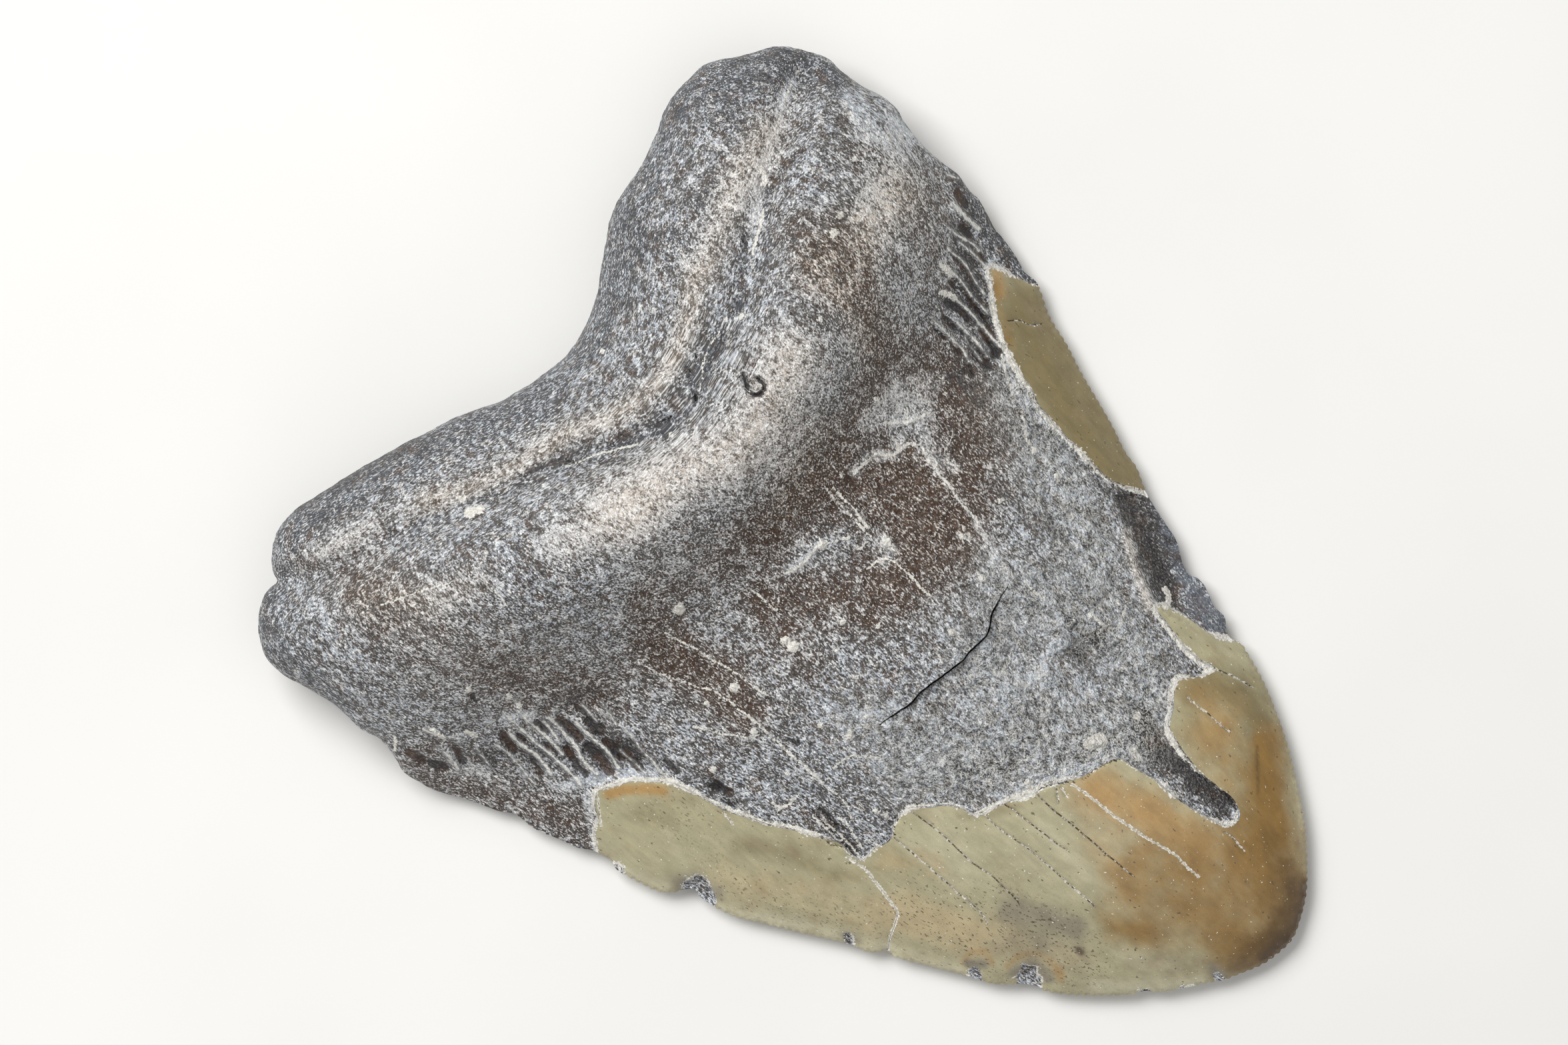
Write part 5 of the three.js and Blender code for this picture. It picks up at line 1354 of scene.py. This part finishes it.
class FossilToothFinish(PropertyGroup):
    stone: colour_setting("Stone", (76, 71, 67), "Ground of the root and the dentine")
    # Blue-grey ground, also laid as painted shade along the outline where the tooth falls away
    slate_and_shade: colour_setting("Slate", (64, 67, 73), "Blue-grey ground of the outer roll and the furrow")
    # Warm beige ground, also laid as painted highlight along the crest of the bulge and the break's raised edge
    cream_and_highlight: colour_setting("Cream", (128, 120, 111), "Dusty ground of the bulge and the lit bands")
    # Warm ground, also laid as painted highlight along the crest of the outer roll
    sand_and_highlight: colour_setting("Sand", (112, 102, 90), "Warm ground of the root's bands")
    umber: colour_setting("Umber", (68, 47, 31), "Dark brown ground below the bulge")
    coal: colour_setting("Coal", (50, 47, 47), "Ground of the slot, the break and the rib troughs")
    flint: colour_setting("Flint", (100, 106, 116), "Smooth blue-grey face of the break in the edge")
    haze: colour_setting("Haze", (100, 103, 106), "Smooth grey ground of the dentine near the enamel")
    dust: colour_setting("Dust", (108, 110, 112), "Thin pale dust")
    rust: colour_setting("Rust", (88, 65, 46), "Brown in small patches")
    fleck: colour_setting("Fleck", (190, 198, 208), "Pale flecks of the bare tooth")
    cream_fleck: colour_setting("Cream Fleck", (214, 202, 189), "Flecks of the cream bands")
    # Painted glints of light, partly small white grains
    glint: colour_setting("Glint", (246, 246, 244), "The smallest and brightest flecks")
    rib: colour_setting("Rib", (156, 158, 160), "Flanks of the ribs beside the root")
    pore: colour_setting("Pore", (34, 31, 30), "Pores, pits and the long crack")
    chalk: colour_setting("Chalk", (250, 248, 240), "White matter in cracks and along the enamel")
    chalk_shade: colour_setting("Chalk Shade", (220, 216, 206), "Darker part of the white matter")
    enamel: colour_setting("Enamel", (177, 170, 138), "Tan ground of the enamel")
    olive: colour_setting("Olive", (132, 119, 84), "Darkest green-brown of the enamel")
    buff: colour_setting("Buff", (196, 190, 160), "Palest enamel")
    peach: colour_setting("Peach", (188, 172, 136), "Warm enamel of the lower edge")
    ochre: colour_setting("Ochre", (177, 143, 92), "Warm tan of the enamel")
    amber: colour_setting("Amber", (144, 112, 60), "Amber stain towards the tip")
    bark: colour_setting("Bark", (84, 64, 42), "Brown of the tip")
    ash: colour_setting("Ash", (140, 132, 114), "Grey smudges of the enamel")
    speck: colour_setting("Speck", (86, 77, 62), "Small dark specks of the enamel")
    crack: colour_setting("Crack", (80, 66, 48), "Cracks of the enamel")
    enamel_roughness: FloatProperty(name="Enamel Roughness", description="Roughness of the enamel",
                                    default=0.34, subtype="FACTOR", min=0, max=1)
    bump_strength: FloatProperty(name="Grain Strength", description="Strength of the finest relief",
                                 default=1.0, subtype="FACTOR", min=0, max=1)


class FossilStudioSettings(PropertyGroup):
    camera_height: FloatProperty(name="Camera Height", description="Height of the camera above the table",
                                 default=1.1, unit="LENGTH")
    key_power: FloatProperty(name="Key Power", description="Power of the soft light behind the root",
                             default=9.6, unit="POWER")
    fill_power: FloatProperty(name="Fill Power", description="Power of the soft light on the other side",
                              default=2.4, unit="POWER")
    key_elevation: FloatProperty(name="Key Elevation", description="Height of the key light's direction",
                                 default=math.radians(52), subtype="ANGLE")
    sky: FloatProperty(name="Sky", description="Strength of the even light from all sides", default=0.3)
    floor: colour_setting("Floor", (232, 231, 228), "Colour of the floor")


# Operators
class MESH_OT_fossil_tooth(Operator):
    """Adds the fossil tooth over the frame's solid"""

    bl_idname = "mesh.fossil_tooth_add"
    bl_label = "Fossil Tooth"
    bl_options = {"REGISTER", "UNDO"}

    def execute(self, context):
        mesh = tooth_mesh(context.scene.fossil_sizes)
        mesh.materials.append(fossil_surface(context.scene.fossil_finish))
        tooth = bpy.data.objects.new("FossilTooth", mesh)
        context.scene.collection.objects.link(tooth)
        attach(tooth, BODY)
        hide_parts(NODE)
        return {"FINISHED"}


def add_floor(scene, colour):
    mesh = bpy.data.meshes.new("PaleFloor")
    half = 3.0
    corners = [(-half, -half, 0), (half, -half, 0), (half, half, 0), (-half, half, 0)]
    mesh.from_pydata(corners, [], [(0, 1, 2, 3)])
    mesh.materials.append(floor_surface(colour))
    floor = bpy.data.objects.new("PaleFloor", mesh)
    scene.collection.objects.link(floor)


def add_soft_light(scene, name, power, size, azimuth, elevation):
    """A square light a metre from the tooth, facing it."""
    light = bpy.data.lights.new(name, "AREA")
    light.energy = power
    light.size = size
    lamp = bpy.data.objects.new(name, light)
    flat = math.cos(elevation)
    toward = Vector((flat * math.cos(azimuth), flat * math.sin(azimuth), math.sin(elevation)))
    lamp.matrix_world = Matrix.Translation(toward) @ toward.to_track_quat("Z", "Y").to_matrix().to_4x4()
    scene.collection.objects.link(lamp)


def add_sky(scene, strength):
    world = bpy.data.worlds.new("SoftSky")
    world.use_nodes = True
    background = world.node_tree.nodes["Background"]
    background.inputs["Color"].default_value = (1, 1, 1, 1)
    background.inputs["Strength"].default_value = strength
    scene.world = world


def add_camera(scene, height):
    """Looks straight down, turned and framed as the photograph is."""
    data = bpy.data.cameras.new("PhotoCamera")
    camera = bpy.data.objects.new("PhotoCamera", data)
    across = PHOTO_SIZE[0] * MM_PER_PIXEL * MM
    data.lens = data.sensor_width * (height - OUTLINE_LEVEL * MM) / across
    data.clip_start = 0.01
    x, y = place_one(PHOTO_MIDDLE) * MM
    camera.location = (x, y, height)
    camera.rotation_euler = (0, 0, -PHOTO_TURN)
    scene.collection.objects.link(camera)
    scene.camera = camera


class SCENE_OT_fossil_stage(Operator):
    """Adds the floor, the lights and the camera"""

    bl_idname = "scene.fossil_stage_add"
    bl_label = "Fossil Stage"
    bl_options = {"REGISTER", "UNDO"}

    def execute(self, context):
        scene = context.scene
        studio = scene.fossil_studio
        add_floor(scene, studio.floor)
        behind_root = math.radians(88)
        add_soft_light(scene, "KeyLight", studio.key_power, 0.6, behind_root, studio.key_elevation)
        add_soft_light(scene, "FillLight", studio.fill_power, 1.2, behind_root + math.pi, math.radians(60))
        add_sky(scene, studio.sky)
        add_camera(scene, studio.camera_height)
        scene.view_settings.view_transform = "Standard"
        return {"FINISHED"}


class VIEW3D_PT_fossil_tooth(Panel):
    """Lists what builds the fossil tooth"""

    bl_idname = "VIEW3D_PT_fossil_tooth"
    bl_label = "Fossil Tooth"
    bl_space_type = "VIEW_3D"
    bl_region_type = "UI"
    bl_category = "Fossil"

    def draw(self, context):
        for operator in OPERATORS:
            self.layout.operator(operator.bl_idname)
        for group, settings in SETTINGS.items():
            box = self.layout.box()
            for name in settings.__annotations__:
                box.prop(getattr(context.scene, group), name)


OPERATORS = (MESH_OT_fossil_tooth, SCENE_OT_fossil_stage)
SETTINGS = {
    "fossil_sizes": FossilToothSizes,
    "fossil_finish": FossilToothFinish,
    "fossil_studio": FossilStudioSettings,
}
CLASSES = (*SETTINGS.values(), *OPERATORS, VIEW3D_PT_fossil_tooth)


def register():
    for kind in CLASSES:
        bpy.utils.register_class(kind)
    for name, settings in SETTINGS.items():
        setattr(bpy.types.Scene, name, PointerProperty(type=settings))


def unregister():
    for name in SETTINGS:
        delattr(bpy.types.Scene, name)
    for kind in reversed(CLASSES):
        bpy.utils.unregister_class(kind)


def main():
    register()
    bpy.ops.mesh.fossil_tooth_add()
    bpy.ops.scene.fossil_stage_add()


if __name__ == "__main__":
    main()
